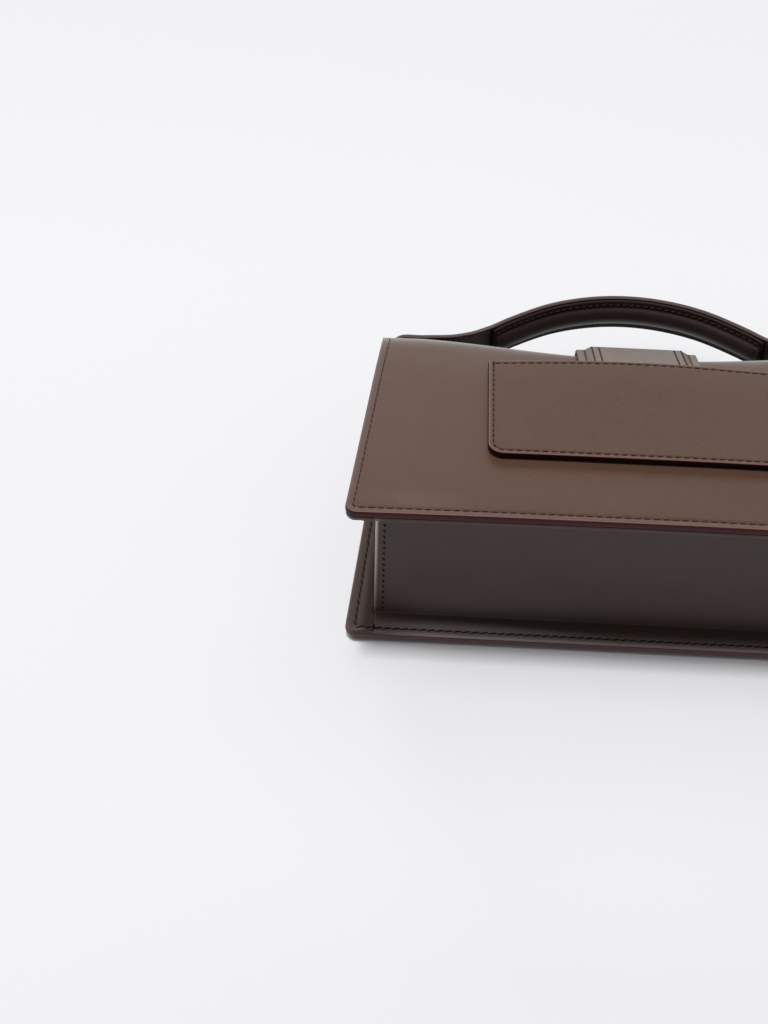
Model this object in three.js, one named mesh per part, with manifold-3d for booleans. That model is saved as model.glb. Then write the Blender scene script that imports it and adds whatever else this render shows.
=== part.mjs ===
// A structured leather handbag, lying on its back panel with its flap closed.
// Millimetres. x runs across the bag, y from its base to its mouth, z up from the floor.
// The front panel faces up, so the bag's depth is its height above the floor.
// The bag is a wedge: it is deepest at its base and thinner at its mouth.

import * as THREE from 'three';
import { mergeVertices } from 'three/addons/utils/BufferGeometryUtils.js';
import Module from 'manifold-3d';

const wasm = await Module();
wasm.setup();

// Panels
const PANEL_HEIGHT = 121.4;
const PANEL_WIDTH_BASE = 240;
const PANEL_WIDTH_MOUTH = 221.6;
const PANEL_CORNER = 5;
const FRONT_THICKNESS = 3.2;
const BACK_THICKNESS = 2.4;

// Depth of the bag from the floor to the outside of the front panel
const DEPTH_BASE = 78.8;
const DEPTH_MOUTH = 57.8;

// Form of the front panel: a slight bow, a roll along the mouth and a dip in its middle
const FRONT_BOW = 1.2;
const MOUTH_ROLL = 2.5;
const MOUTH_ROLL_START = 84;
const MOUTH_DIP = 8;
const MOUTH_DIP_SPAN = 190;
const MOUTH_DIP_SHAPE = 1.4;

// Gussets: strips set in from the panel edges, with flanges turned out and sewn to the panels
const GUSSET_WALL = 1.8;
const GUSSET_BEND = 1.8;
const BASE_INSET = 11;
const SIDE_INSET_BASE = 12;
const SIDE_INSET_MOUTH = 6.3;
const FLANGE_STEP = 0.4;

// Flap plate on the front panel
const FLAP_WIDTH = 130;
const FLAP_HEIGHT = 63.5;
const FLAP_FROM_BASE = 36.2;
const FLAP_THICKNESS = 2.8;
const FLAP_CORNER = 6.5;
const FLAP_CLEARANCE = 0.6;
const FLAP_LIFT = 1.6;
const FLAP_BOW = 1.5;

// Hinge strap from the flap plate over the mouth to the inside of the back panel
const HINGE_WIDTH = 53;
const HINGE_THICKNESS = 1.4;
const HINGE_PAD = 1.6;
const HINGE_PAD_WIDTH = 46;
const HINGE_PAD_START = 4;
const HINGE_OVERLAP = 5;
const HINGE_CLEARANCE = 0.6;
const HINGE_REACH = 2;
const HINGE_BEND = 3.5;
const HINGE_TAIL = 26;

// Handle: a strap sewn to the outside of the side gussets, humped over the mouth's ends
const HANDLE_RISE = 57.5;
const HUMP_RISE = 10.6;
const HUMP_RADIUS = 7;
const HANDLE_TAB = 34;
const STRAP_THICKNESS = 2.6;
const GRIP_WIDTH = 18;
const ROOT_CLEARANCE = 2;

// Padded roll sewn under the handle's grip
const ROLL_SPAN = 126;
const ROLL_DEPTH = 7.4;
const ROLL_WIDTH = 13;
const ROLL_WELT = 1.3;

// Pieces that touch on the real bag keep this gap
const GAP = 0.3;

// The handle's arch from its middle to the hump.
// out: share of the half width of the handle. rise: share of the height from hump to crown.
const ARCH_SECTIONS = [
  { out: 0.00, rise: 1.000 },
  { out: 0.17, rise: 0.959 },
  { out: 0.34, rise: 0.835 },
  { out: 0.51, rise: 0.612 },
  { out: 0.60, rise: 0.450 },
  { out: 0.68, rise: 0.261 },
  { out: 0.76, rise: 0.096 },
  { out: 0.84, rise: 0.009 },
];

// The strap is as wide as the grip up to the first share of its half width and
// has spread to its root by the second.
const SPREAD_START = 0.55;
const SPREAD_END = 0.86;

// How finely the pieces are split
const PANEL_COLUMNS = 20;
const PANEL_ROWS = 3;
const ROLL_ROWS = 5;
const CORNER_STEPS = 4;
const BEND_STEPS = 3;
const GUSSET_ROWS = 9;
const FLAP_COLUMNS = 12;
const FLAP_ROWS = 7;
const HINGE_BEND_STEPS = 5;
const TAB_STEPS = 2;
const HUMP_STEPS = 5;
const ARCH_STEPS = 44;
const SWELL_STEPS = 8;

const { lerp, clamp, smoothstep } = THREE.MathUtils;

// Sizes that follow from the ones above
const DEPTH_RAMP = DEPTH_BASE - DEPTH_MOUTH - MOUTH_ROLL;
const BACK_FLANGE_Z = BACK_THICKNESS + GAP + GUSSET_WALL / 2;
const FRONT_FLANGE_DROP = FRONT_THICKNESS + GAP + GUSSET_WALL / 2;
const FLAP_TOP = FLAP_FROM_BASE + FLAP_HEIGHT;

// Evenly spaced stops from one value to another
function stops(from, to, count) {
  return Array.from({ length: count + 1 }, (_, i) => lerp(from, to, i / count));
}

// Stops along a side that starts with a rounded corner
function corneredStops(radius, to, cornerCount, count) {
  const corner = stops(0, Math.PI / 2, cornerCount).map((angle) => radius * (1 - Math.cos(angle)));
  return corner.concat(stops(radius, to, count).slice(1));
}

// How far a rounded corner pulls an edge in, at a distance from its start
function cornerPull(radius, distance) {
  if (distance >= radius) {
    return 0;
  }
  const left = radius - distance;
  return radius - Math.sqrt(radius * radius - left * left);
}

function turnFacesOut(geometry) {
  const points = geometry.getAttribute('position');
  const index = geometry.getIndex();
  const [a, b, c] = [new THREE.Vector3(), new THREE.Vector3(), new THREE.Vector3()];
  let volume = 0;
  for (let i = 0; i < index.count; i += 3) {
    a.fromBufferAttribute(points, index.getX(i));
    b.fromBufferAttribute(points, index.getX(i + 1));
    c.fromBufferAttribute(points, index.getX(i + 2));
    volume += a.dot(b.cross(c));
  }
  if (volume < 0) {
    for (let i = 0; i < index.count; i += 3) {
      const first = index.getX(i);
      index.setX(i, index.getX(i + 2));
      index.setX(i + 2, first);
    }
  }
  return geometry;
}

// A closed sheet of leather. Each corner of a box that is split into columns and rows
// goes where place(column, row, face) says, with face 0 on one side and 1 on the other.
function sheet(columnStops, rowStops, place) {
  const columns = columnStops.length - 1;
  const rows = rowStops.length - 1;
  const geometry = new THREE.BoxGeometry(1, 1, 1, columns, rows, 1);
  const points = geometry.getAttribute('position');
  const corner = new THREE.Vector3();
  for (let i = 0; i < points.count; i += 1) {
    corner.fromBufferAttribute(points, i).addScalar(0.5);
    const column = columnStops[Math.round(corner.x * columns)];
    const row = rowStops[Math.round(corner.y * rows)];
    const [x, y, z] = place(column, row, Math.round(corner.z));
    points.setXYZ(i, x, y, z);
  }
  geometry.deleteAttribute('normal');
  geometry.deleteAttribute('uv');
  return turnFacesOut(mergeVertices(geometry, 1e-4));
}

// A line through a few corners in a plane, each inner corner rounded by a bend.
// Each corner has a number of steps round its bend, and with no steps it stays sharp.
// Every point comes with the direction across the line, to its left.
function bentLine(corners, radius, bendSteps) {
  const points = [];
  corners.forEach((corner, i) => {
    if (bendSteps[i] === 0) {
      points.push(corner.clone());
      return;
    }
    const before = corners[i - 1].clone().sub(corner).normalize();
    const after = corners[i + 1].clone().sub(corner).normalize();
    const halfAngle = before.angleTo(after) / 2;
    const reach = radius / Math.tan(halfAngle);
    const centre = before.clone().add(after).normalize().multiplyScalar(radius / Math.sin(halfAngle)).add(corner);
    const start = corner.clone().addScaledVector(before, reach).sub(centre);
    const end = corner.clone().addScaledVector(after, reach).sub(centre);
    const turn = Math.atan2(start.cross(end), start.dot(end));
    const origin = new THREE.Vector2();
    stops(0, turn, bendSteps[i]).forEach((angle) => {
      points.push(start.clone().rotateAround(origin, angle).add(centre));
    });
  });
  return withNormals(points);
}

function withNormals(points) {
  return points.map((point, i) => {
    const before = points[Math.max(i - 1, 0)];
    const after = points[Math.min(i + 1, points.length - 1)];
    const along = after.clone().sub(before).normalize();
    return { point, across: new THREE.Vector2(-along.y, along.x) };
  });
}

function toSolid(geometry) {
  const mesh = new wasm.Mesh({
    numProp: 3,
    vertProperties: Float32Array.from(geometry.getAttribute('position').array),
    triVerts: Uint32Array.from(geometry.getIndex().array),
  });
  return new wasm.Manifold(mesh);
}

function toGeometry(solid) {
  const mesh = solid.getMesh();
  const geometry = new THREE.BufferGeometry();
  geometry.setAttribute('position', new THREE.BufferAttribute(Float32Array.from(mesh.vertProperties), 3));
  geometry.setIndex(new THREE.BufferAttribute(Uint32Array.from(mesh.triVerts), 1));
  return geometry;
}

// Outline of the panels: half the width at a height above the base
function panelHalfWidth(y) {
  const straight = lerp(PANEL_WIDTH_BASE, PANEL_WIDTH_MOUTH, y / PANEL_HEIGHT) / 2;
  return straight - cornerPull(PANEL_CORNER, y);
}

// Outside of the side gussets, measured from the bag's middle
function sideFace(y) {
  const inset = lerp(SIDE_INSET_BASE, SIDE_INSET_MOUTH, y / PANEL_HEIGHT);
  return lerp(PANEL_WIDTH_BASE, PANEL_WIDTH_MOUTH, y / PANEL_HEIGHT) / 2 - inset;
}

// The front panel's ramp with its bow, before the roll and dip at the mouth
function rampFace(x, y) {
  const bow = FRONT_BOW * Math.cos(clamp(2 * x / PANEL_WIDTH_BASE, -1, 1) * Math.PI / 2);
  return DEPTH_BASE - DEPTH_RAMP * y / PANEL_HEIGHT + bow;
}

// Share of the roll along the mouth that is reached at a height above the base
function rollShare(y) {
  const near = Math.max(0, (y - MOUTH_ROLL_START) / (PANEL_HEIGHT - MOUTH_ROLL_START));
  return near * near;
}

// The outside of the front panel
function frontFace(x, y) {
  const across = Math.cos(clamp(2 * x / MOUTH_DIP_SPAN, -1, 1) * Math.PI / 2);
  const dip = MOUTH_DIP * Math.pow(Math.max(0, across), MOUTH_DIP_SHAPE);
  return rampFace(x, y) - (MOUTH_ROLL + dip) * rollShare(y);
}

function frontPanel() {
  const plainRows = corneredStops(PANEL_CORNER, MOUTH_ROLL_START, CORNER_STEPS, PANEL_ROWS);
  const rows = plainRows.concat(stops(MOUTH_ROLL_START, PANEL_HEIGHT, ROLL_ROWS).slice(1));
  return sheet(stops(-1, 1, PANEL_COLUMNS), rows, (column, y, face) => {
    const x = column * panelHalfWidth(y);
    return [x, y, frontFace(x, y) - (1 - face) * FRONT_THICKNESS];
  });
}

function backPanel() {
  const rows = corneredStops(PANEL_CORNER, PANEL_HEIGHT, CORNER_STEPS, 1);
  return sheet([-1, 1], rows, (column, y, face) => {
    return [column * panelHalfWidth(y), y, face * BACK_THICKNESS];
  });
}

// Half the length of the base gusset, whose cut ends cover the webs of the side gussets
function baseHalfLength() {
  return sideFace(0);
}

// A gusset's section: back flange, web and front flange, as a line that is then given its wall
function channel(edge, web, frontAtEdge, frontAtWeb) {
  return bentLine([
    new THREE.Vector2(edge, BACK_FLANGE_Z),
    new THREE.Vector2(web, BACK_FLANGE_Z),
    new THREE.Vector2(web, frontAtWeb - FRONT_FLANGE_DROP),
    new THREE.Vector2(edge, frontAtEdge - FRONT_FLANGE_DROP),
  ], GUSSET_BEND, [0, BEND_STEPS, BEND_STEPS, 0]);
}

// Stop numbers of a channel's points: two ends, and the points round two bends
const CHANNEL_STOPS = Array.from({ length: 2 * BEND_STEPS + 4 }, (_, i) => i);

function baseGusset() {
  const half = baseHalfLength();
  return sheet(stops(-half, half, PANEL_COLUMNS), CHANNEL_STOPS, (x, stop, face) => {
    const web = BASE_INSET + GUSSET_WALL / 2;
    const line = channel(FLANGE_STEP, web, frontFace(x, FLANGE_STEP), frontFace(x, web));
    const { point, across } = line[stop];
    const offset = (face - 0.5) * GUSSET_WALL;
    return [x, point.x + across.x * offset, point.y + across.y * offset];
  });
}

// One side gusset: hand is -1 at the left and 1 at the right
function sideGusset(hand) {
  const rows = corneredStops(PANEL_CORNER, PANEL_HEIGHT - FLANGE_STEP, BEND_STEPS, GUSSET_ROWS);
  const whole = sheet(CHANNEL_STOPS, rows, (stop, row, face) => {
    const y = Math.max(row, FLANGE_STEP);
    const edge = panelHalfWidth(y) - FLANGE_STEP;
    const web = sideFace(y) - GUSSET_WALL / 2;
    const line = channel(edge, web, frontFace(edge, y), frontFace(web, y));
    const { point, across } = line[stop];
    const offset = (face - 0.5) * GUSSET_WALL;
    return [hand * (point.x + across.x * offset), y, point.y + across.y * offset];
  });
  const half = baseHalfLength() + GAP;
  const reach = BASE_INSET + GUSSET_WALL + GAP;
  const room = new THREE.BoxGeometry(half, 2 * reach, 4 * DEPTH_BASE);
  room.deleteAttribute('normal');
  room.deleteAttribute('uv');
  room.translate(hand * half / 2, 0, 0);
  return toGeometry(toSolid(whole).subtract(toSolid(mergeVertices(room))));
}

// Share of a height on the flap plate, from its lower edge to its top edge
function flapShare(y) {
  return clamp((y - FLAP_FROM_BASE) / FLAP_HEIGHT, 0, 1);
}

// The underside of the flap plate, which lifts off the front panel over the hinge strap
function flapUnderside(x, y) {
  const share = flapShare(y);
  const across = Math.cos(clamp(2 * x / FLAP_WIDTH, -1, 1) * Math.PI / 2);
  const ramp = rampFace(x, y) - MOUTH_ROLL * rollShare(y);
  return ramp + FLAP_CLEARANCE + FLAP_LIFT * across * share * share;
}

// How far the flap plate's top edge rises towards the middle
function flapBow(x) {
  return FLAP_BOW * Math.cos(clamp(2 * x / FLAP_WIDTH, -1, 1) * Math.PI / 2);
}

function flapPlate() {
  const rows = corneredStops(FLAP_CORNER, FLAP_HEIGHT, CORNER_STEPS, FLAP_ROWS);
  return sheet(stops(-1, 1, FLAP_COLUMNS), rows, (column, row, face) => {
    const x = column * (FLAP_WIDTH / 2 - cornerPull(FLAP_CORNER, row));
    const y = FLAP_FROM_BASE + row + flapBow(x) * row / FLAP_HEIGHT;
    return [x, y, flapUnderside(x, y) + face * FLAP_THICKNESS];
  });
}

// Steps round each corner of the hinge strap's line, and the stops of it that carry padding
const HINGE_BENDS = [0, 0, 0, HINGE_BEND_STEPS, 0, HINGE_BEND_STEPS, 0];
const HINGE_PAD_STOPS = { first: 2, last: HINGE_BEND_STEPS + 4 };

// The inner line of the hinge strap in the y, z plane: under the flap plate,
// over the mouth and down behind it, then flat inside the back panel.
function hingeLine(x) {
  const below = GAP + HINGE_THICKNESS;
  const flapEdge = FLAP_TOP + flapBow(x);
  const start = new THREE.Vector2(flapEdge - HINGE_OVERLAP, 0);
  start.y = flapUnderside(x, start.x) - below;
  const edge = new THREE.Vector2(flapEdge, flapUnderside(x, flapEdge) - below);
  const behind = PANEL_HEIGHT + HINGE_REACH;
  const mouth = new THREE.Vector2(behind, frontFace(HINGE_WIDTH / 2, PANEL_HEIGHT) + HINGE_CLEARANCE);
  const padStart = edge.clone().lerp(mouth, HINGE_PAD_START / edge.distanceTo(mouth));
  const floor = BACK_THICKNESS + below;
  const padEnd = new THREE.Vector2(behind, (mouth.y + floor) / 2);
  const corners = [
    start,
    edge,
    padStart,
    mouth,
    padEnd,
    new THREE.Vector2(behind, floor),
    new THREE.Vector2(PANEL_HEIGHT - HINGE_TAIL, floor),
  ];
  return bentLine(corners, HINGE_BEND, HINGE_BENDS);
}

// Thickness of the hinge strap: padded in its middle where it crosses the mouth
function hingeThickness(x, stop) {
  const side = 1 - smoothstep(Math.abs(x), HINGE_PAD_WIDTH / 2 - HINGE_PAD_START, HINGE_PAD_WIDTH / 2);
  const padded = stop >= HINGE_PAD_STOPS.first && stop <= HINGE_PAD_STOPS.last;
  return HINGE_THICKNESS + (padded ? HINGE_PAD * side : 0);
}

function flapHinge() {
  const half = HINGE_WIDTH / 2;
  const lineStops = hingeLine(0).map((_, i) => i);
  return sheet(stops(-half, half, FLAP_COLUMNS), lineStops, (x, stop, face) => {
    const { point, across } = hingeLine(x)[stop];
    const offset = face * hingeThickness(x, stop);
    return [x, point.x + across.x * offset, point.y + across.y * offset];
  });
}

// Outside of the handle strap where it lies on a side gusset
function tabFace(y) {
  return sideFace(y) + GAP + STRAP_THICKNESS;
}

// Outer line of the handle in the x, y plane, from the left tab over the crown to the right tab
function handleLine() {
  const half = tabFace(PANEL_HEIGHT);
  const hump = PANEL_HEIGHT + HUMP_RISE;
  const arch = ARCH_SECTIONS.map(({ out, rise }) => {
    return new THREE.Vector2(-out * half, hump + rise * (HANDLE_RISE - HUMP_RISE));
  });
  const bendEnd = new THREE.Vector2(HUMP_RADIUS - half, hump);
  const left = [bendEnd, ...arch.reverse()];
  const right = left.slice(0, -1).reverse().map((point) => new THREE.Vector2(-point.x, point.y));
  const crown = new THREE.SplineCurve([...left, ...right]).getPoints(ARCH_STEPS);
  const bend = stops(Math.PI, Math.PI / 2, HUMP_STEPS).slice(0, -1).map((angle) => new THREE.Vector2(
    HUMP_RADIUS - half + HUMP_RADIUS * Math.cos(angle),
    hump - HUMP_RADIUS + HUMP_RADIUS * Math.sin(angle),
  ));
  const tabHeights = stops(PANEL_HEIGHT - HANDLE_TAB, PANEL_HEIGHT, TAB_STEPS);
  const tab = tabHeights.map((y) => new THREE.Vector2(-tabFace(y), y));
  const start = [...tab, ...bend];
  const end = start.map((point) => new THREE.Vector2(-point.x, point.y)).reverse();
  return withNormals([...start, ...crown, ...end]);
}

// The handle's line within a distance from the bag's middle, cut off at that distance
function handleStretch(reach) {
  const line = handleLine();
  const first = line.findIndex(({ point }) => point.x > -reach);
  const share = (-reach - line[first - 1].point.x) / (line[first].point.x - line[first - 1].point.x);
  const point = line[first - 1].point.clone().lerp(line[first].point, share);
  const across = line[first - 1].across.clone().lerp(line[first].across, share).normalize();
  const start = { point, across };
  const end = {
    point: new THREE.Vector2(-point.x, point.y),
    across: new THREE.Vector2(-across.x, across.y),
  };
  return [start, ...line.slice(first, line.length - first), end];
}

// The handle lies in the middle of the mouth's depth
const ROOT_LOW = BACK_FLANGE_Z + GUSSET_WALL / 2 + ROOT_CLEARANCE;
const ROOT_HIGH = DEPTH_MOUTH - FRONT_FLANGE_DROP - GUSSET_WALL / 2 - ROOT_CLEARANCE;
const HANDLE_MIDDLE = (ROOT_LOW + ROOT_HIGH) / 2;

// Half the strap's width at a distance from the bag's middle
function strapHalfWidth(x) {
  const half = tabFace(PANEL_HEIGHT);
  const spread = smoothstep(Math.abs(x), SPREAD_START * half, SPREAD_END * half);
  return lerp(GRIP_WIDTH, ROOT_HIGH - ROOT_LOW, spread) / 2;
}

function handleStrap() {
  const line = handleLine();
  return sheet(line.map((_, i) => i), [-1, 0, 1], (stop, row, face) => {
    const { point, across } = line[stop];
    const offset = (face - 1) * STRAP_THICKNESS;
    const z = HANDLE_MIDDLE + row * strapHalfWidth(point.x);
    return [point.x + across.x * offset, point.y + across.y * offset, z];
  });
}

// Height of the padded roll over the strap's inside, at a distance across the grip
function rollHeight(across) {
  const share = clamp(2 * across / ROLL_WIDTH, -1, 1);
  return ROLL_WELT + (ROLL_DEPTH - ROLL_WELT) * Math.sqrt(1 - share * share);
}

function handleRoll() {
  const line = handleStretch(ROLL_SPAN / 2);
  const edge = GRIP_WIDTH / 2 - FLANGE_STEP;
  const angles = stops(-Math.PI / 2, Math.PI / 2, SWELL_STEPS);
  const rows = [-edge, ...angles.map((angle) => ROLL_WIDTH / 2 * Math.sin(angle)), edge];
  return sheet(line.map((_, i) => i), rows, (stop, row, face) => {
    const { point, across } = line[stop];
    const offset = -STRAP_THICKNESS - GAP - (1 - face) * rollHeight(row);
    return [point.x + across.x * offset, point.y + across.y * offset, HANDLE_MIDDLE + row];
  });
}

const materials = {
  smoothLeather: new THREE.MeshStandardMaterial({ color: 0x675349, roughness: 0.42, metalness: 0 }),
  gussetLeather: new THREE.MeshStandardMaterial({ color: 0x4a3c35, roughness: 0.45, metalness: 0 }),
  handleLeather: new THREE.MeshStandardMaterial({ color: 0x3c2c27, roughness: 0.35, metalness: 0 }),
};

const bag = new THREE.Group();

function add(name, geometry, material) {
  const mesh = new THREE.Mesh(geometry, material);
  mesh.name = name;
  bag.add(mesh);
}

add('back_panel', backPanel(), materials.smoothLeather);
add('front_panel', frontPanel(), materials.smoothLeather);
add('base_gusset', baseGusset(), materials.gussetLeather);
add('side_gusset_left', sideGusset(-1), materials.gussetLeather);
add('side_gusset_right', sideGusset(1), materials.gussetLeather);
add('flap_plate', flapPlate(), materials.smoothLeather);
add('flap_hinge', flapHinge(), materials.smoothLeather);
add('handle_strap', handleStrap(), materials.handleLeather);
add('handle_roll', handleRoll(), materials.handleLeather);

// The origin lies under the middle of the bag's length, handle included
bag.position.y = -(PANEL_HEIGHT + HANDLE_RISE) / 2;

export default bag;
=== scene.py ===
"""A structured leather handbag, lying on its back panel: leather, painted edges and seams.

Sizes in the dataclasses are millimetres, with y measured from the bag's base.
Meshes are metres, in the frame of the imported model.
"""

import logging
import math
from dataclasses import dataclass
from enum import Enum
from typing import Callable, Optional, Sequence

import bpy
import numpy as np
from mathutils import Matrix, Vector, noise


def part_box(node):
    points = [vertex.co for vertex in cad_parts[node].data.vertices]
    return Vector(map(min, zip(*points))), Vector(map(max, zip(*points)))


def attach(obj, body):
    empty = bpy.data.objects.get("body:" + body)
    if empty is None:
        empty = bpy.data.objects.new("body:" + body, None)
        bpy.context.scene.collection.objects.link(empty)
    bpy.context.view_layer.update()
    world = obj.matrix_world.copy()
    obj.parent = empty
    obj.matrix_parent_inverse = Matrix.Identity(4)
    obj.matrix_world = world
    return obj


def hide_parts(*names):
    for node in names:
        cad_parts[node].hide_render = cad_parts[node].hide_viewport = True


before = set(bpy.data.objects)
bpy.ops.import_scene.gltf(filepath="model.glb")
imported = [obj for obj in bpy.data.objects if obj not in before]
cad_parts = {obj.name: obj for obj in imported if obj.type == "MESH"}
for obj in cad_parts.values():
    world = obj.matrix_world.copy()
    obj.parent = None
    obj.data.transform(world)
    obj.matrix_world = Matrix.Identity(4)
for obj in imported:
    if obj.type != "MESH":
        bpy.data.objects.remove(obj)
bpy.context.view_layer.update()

MM = 0.001
ROOT = "root"
BASE_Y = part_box("back_panel")[0].y / MM
LOG = logging.getLogger("handbag")

Pair = tuple[float, float]
Place = Callable[[float, float, float], Sequence[float]]


def lerp(a: float, b: float, share: float) -> float:
    """Value at a share of the way from a to b."""
    return a + (b - a) * share


def clamp(value: float, low: float = 0.0, high: float = 1.0) -> float:
    """Value held between two limits."""
    return max(low, min(high, value))


def smooth_step(value: float, low: float, high: float) -> float:
    """Smooth share from 0 at low to 1 at high."""
    share = clamp((value - low) / (high - low))
    return share * share * (3 - 2 * share)


def half_wave(value: float, span: float) -> float:
    """Cosine hump that is 1 in the middle of a span and 0 at its ends."""
    return math.cos(clamp(2 * value / span, -1, 1) * math.pi / 2)


def to_metres(point: Sequence[float]) -> Vector:
    """Point of the bag, in millimetres from its base, as metres in the frame."""
    return Vector((point[0] * MM, (point[1] + BASE_Y) * MM, point[2] * MM))


def linear(red: int, green: int, blue: int) -> tuple[float, float, float, float]:
    """Colour given in screen steps of 0 to 255, as the linear values that shaders use.

    Args:
        red, green, blue: steps of the three channels.

    Returns:
        Linear red, green and blue with an alpha of 1.
    """
    channels = []
    for step in (red, green, blue):
        share = step / 255
        channels.append(share / 12.92 if share <= 0.04045 else ((share + 0.055) / 1.055) ** 2.4)
    return (channels[0], channels[1], channels[2], 1.0)


class Socket:
    """An output socket on which Python arithmetic adds Math nodes."""

    def __init__(self, tree: "FinishTree", output: bpy.types.NodeSocket) -> None:
        """Wraps an output socket of a tree."""
        self.tree = tree
        self.output = output

    def math(self, operation: str, *others: object) -> "Socket":
        """Adds a Math node.

        Args:
            operation: Blender's name of the operation.
            others: the operands after this socket, as sockets or numbers.

        Returns:
            The node's output.
        """
        values = dict(enumerate([self, *others]))
        return self.tree.add("ShaderNodeMath", {"operation": operation}, values)

    def __add__(self, other: object) -> "Socket":
        """Sum."""
        return self.math("ADD", other)

    def __radd__(self, other: object) -> "Socket":
        """Sum, with the socket on the right."""
        return self.math("ADD", other)

    def __sub__(self, other: object) -> "Socket":
        """Difference."""
        return self.math("SUBTRACT", other)

    def __rsub__(self, other: object) -> "Socket":
        """Difference, with the socket on the right."""
        return self.tree.add("ShaderNodeMath", {"operation": "SUBTRACT"}, {0: other, 1: self})

    def __mul__(self, other: object) -> "Socket":
        """Product."""
        return self.math("MULTIPLY", other)

    def __rmul__(self, other: object) -> "Socket":
        """Product, with the socket on the right."""
        return self.math("MULTIPLY", other)

    def between(self, low: float, high: float) -> "Socket":
        """Share from 0 at low to 1 at high, smoothed and held at its ends."""
        settings = {"interpolation_type": "SMOOTHSTEP"}
        return self.tree.add("ShaderNodeMapRange", settings, {0: self, 1: low, 2: high})


class FinishTree:
    """A material's node tree, with one method that adds any node."""

    def __init__(self, name: str) -> None:
        """Starts a material with a Principled shader.

        Args:
            name: the material's name.
        """
        self.material = bpy.data.materials.new(name)
        self.material.use_nodes = True
        self.nodes = self.material.node_tree.nodes
        self.links = self.material.node_tree.links
        self.nodes.clear()
        self.shader = self.nodes.new("ShaderNodeBsdfPrincipled")
        surface = self.nodes.new("ShaderNodeOutputMaterial")
        self.links.new(self.shader.outputs["BSDF"], surface.inputs["Surface"])

    def set_input(self, node: bpy.types.Node, key: object, value: object) -> None:
        """Links a socket to a node's input, or sets the input to a value.

        Args:
            node: the node.
            key: name or number of its input.
            value: a socket to link, or a value to set.
        """
        if isinstance(value, Socket):
            self.links.new(value.output, node.inputs[key])
        else:
            node.inputs[key].default_value = value

    def add(self, kind: str, settings: Optional[dict] = None, inputs: Optional[dict] = None,
            output: object = 0) -> Socket:
        """Adds a node.

        Args:
            kind: Blender's type name of the node.
            settings: attributes of the node, set first.
            inputs: values or sockets by the name or number of the node's inputs.
            output: name or number of the output that is returned.

        Returns:
            The chosen output.
        """
        node = self.nodes.new(kind)
        for name, value in (settings or {}).items():
            setattr(node, name, value)
        for key, value in (inputs or {}).items():
            self.set_input(node, key, value)
        return Socket(self, node.outputs[output])

    def place(self) -> Socket:
        """The point on the object, in metres of the frame."""
        return self.add("ShaderNodeTexCoord", output="Object")

    def mark(self, name: str) -> Socket:
        """A value that is stored on the mesh."""
        return self.add("ShaderNodeAttribute", {"attribute_name": name}, output="Fac")

    def speckle(self, size: float, detail: float = 2.0, stretch: Sequence[float] = (1, 1, 1)) -> Socket:
        """Noise from 0 to 1.

        Args:
            size: size of one blotch in millimetres.
            detail: how many finer layers it has.
            stretch: factors on the three axes.

        Returns:
            The noise value.
        """
        scaled = self.add("ShaderNodeVectorMath", {"operation": "MULTIPLY"},
                          {0: self.place(), 1: tuple(s / (size * MM) for s in stretch)})
        return self.add("ShaderNodeTexNoise", {}, {"Vector": scaled, "Scale": 1.0, "Detail": detail})

    def pebbles(self, size: float) -> Socket:
        """Fine leather grain: distance to the borders of cells of a size in millimetres.

        Args:
            size: size of one cell in millimetres.

        Returns:
            0 on the borders of the cells, rising towards their middles.
        """
        wander = self.add("ShaderNodeTexNoise", {}, {"Vector": self.place(), "Scale": 0.6 / (size * MM)},
                          output="Color")
        shift = self.add("ShaderNodeVectorMath", {"operation": "SCALE"}, {0: wander, "Scale": 0.6})
        scaled = self.add("ShaderNodeVectorMath", {"operation": "SCALE"},
                          {0: self.place(), "Scale": 1 / (size * MM)})
        moved = self.add("ShaderNodeVectorMath", {"operation": "ADD"}, {0: scaled, 1: shift})
        return self.add("ShaderNodeTexVoronoi", {"feature": "DISTANCE_TO_EDGE"},
                        {"Vector": moved, "Scale": 1.0})

    def blend(self, share: object, first: object, second: object) -> Socket:
        """Mixes two colours.

        Args:
            share: 0 gives the first colour and 1 the second.
            first, second: colours or sockets.

        Returns:
            The mixed colour.
        """
        return self.add("ShaderNodeMix", {"data_type": "RGBA"}, {0: share, 6: first, 7: second}, output=2)

    def spot(self, centre: Sequence[float], reach: Sequence[float]) -> Socket:
        """A soft round mark.

        Args:
            centre: its middle, in millimetres from the bag's base.
            reach: how far it reaches along the three axes, in millimetres.

        Returns:
            1 in its middle and 0 outside it.
        """
        moved = self.add("ShaderNodeVectorMath", {"operation": "SUBTRACT"},
                         {0: self.place(), 1: tuple(to_metres(centre))})
        scaled = self.add("ShaderNodeVectorMath", {"operation": "MULTIPLY"},
                          {0: moved, 1: tuple(1 / (r * MM) for r in reach)})
        length = self.add("ShaderNodeVectorMath", {"operation": "LENGTH"}, {0: scaled}, output="Value")
        return 1 - length.between(0.0, 1.0)

    def bump(self, height: Socket, depth: float, under: Optional[Socket] = None) -> Socket:
        """Adds relief to the normal.

        Args:
            height: relief from 0 to 1.
            depth: its depth in millimetres.
            under: a normal that it is added to.

        Returns:
            The bumped normal.
        """
        inputs = {"Height": height, "Strength": 1.0, "Distance": depth * MM}
        if under is not None:
            inputs["Normal"] = under
        return self.add("ShaderNodeBump", {}, inputs)


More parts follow.
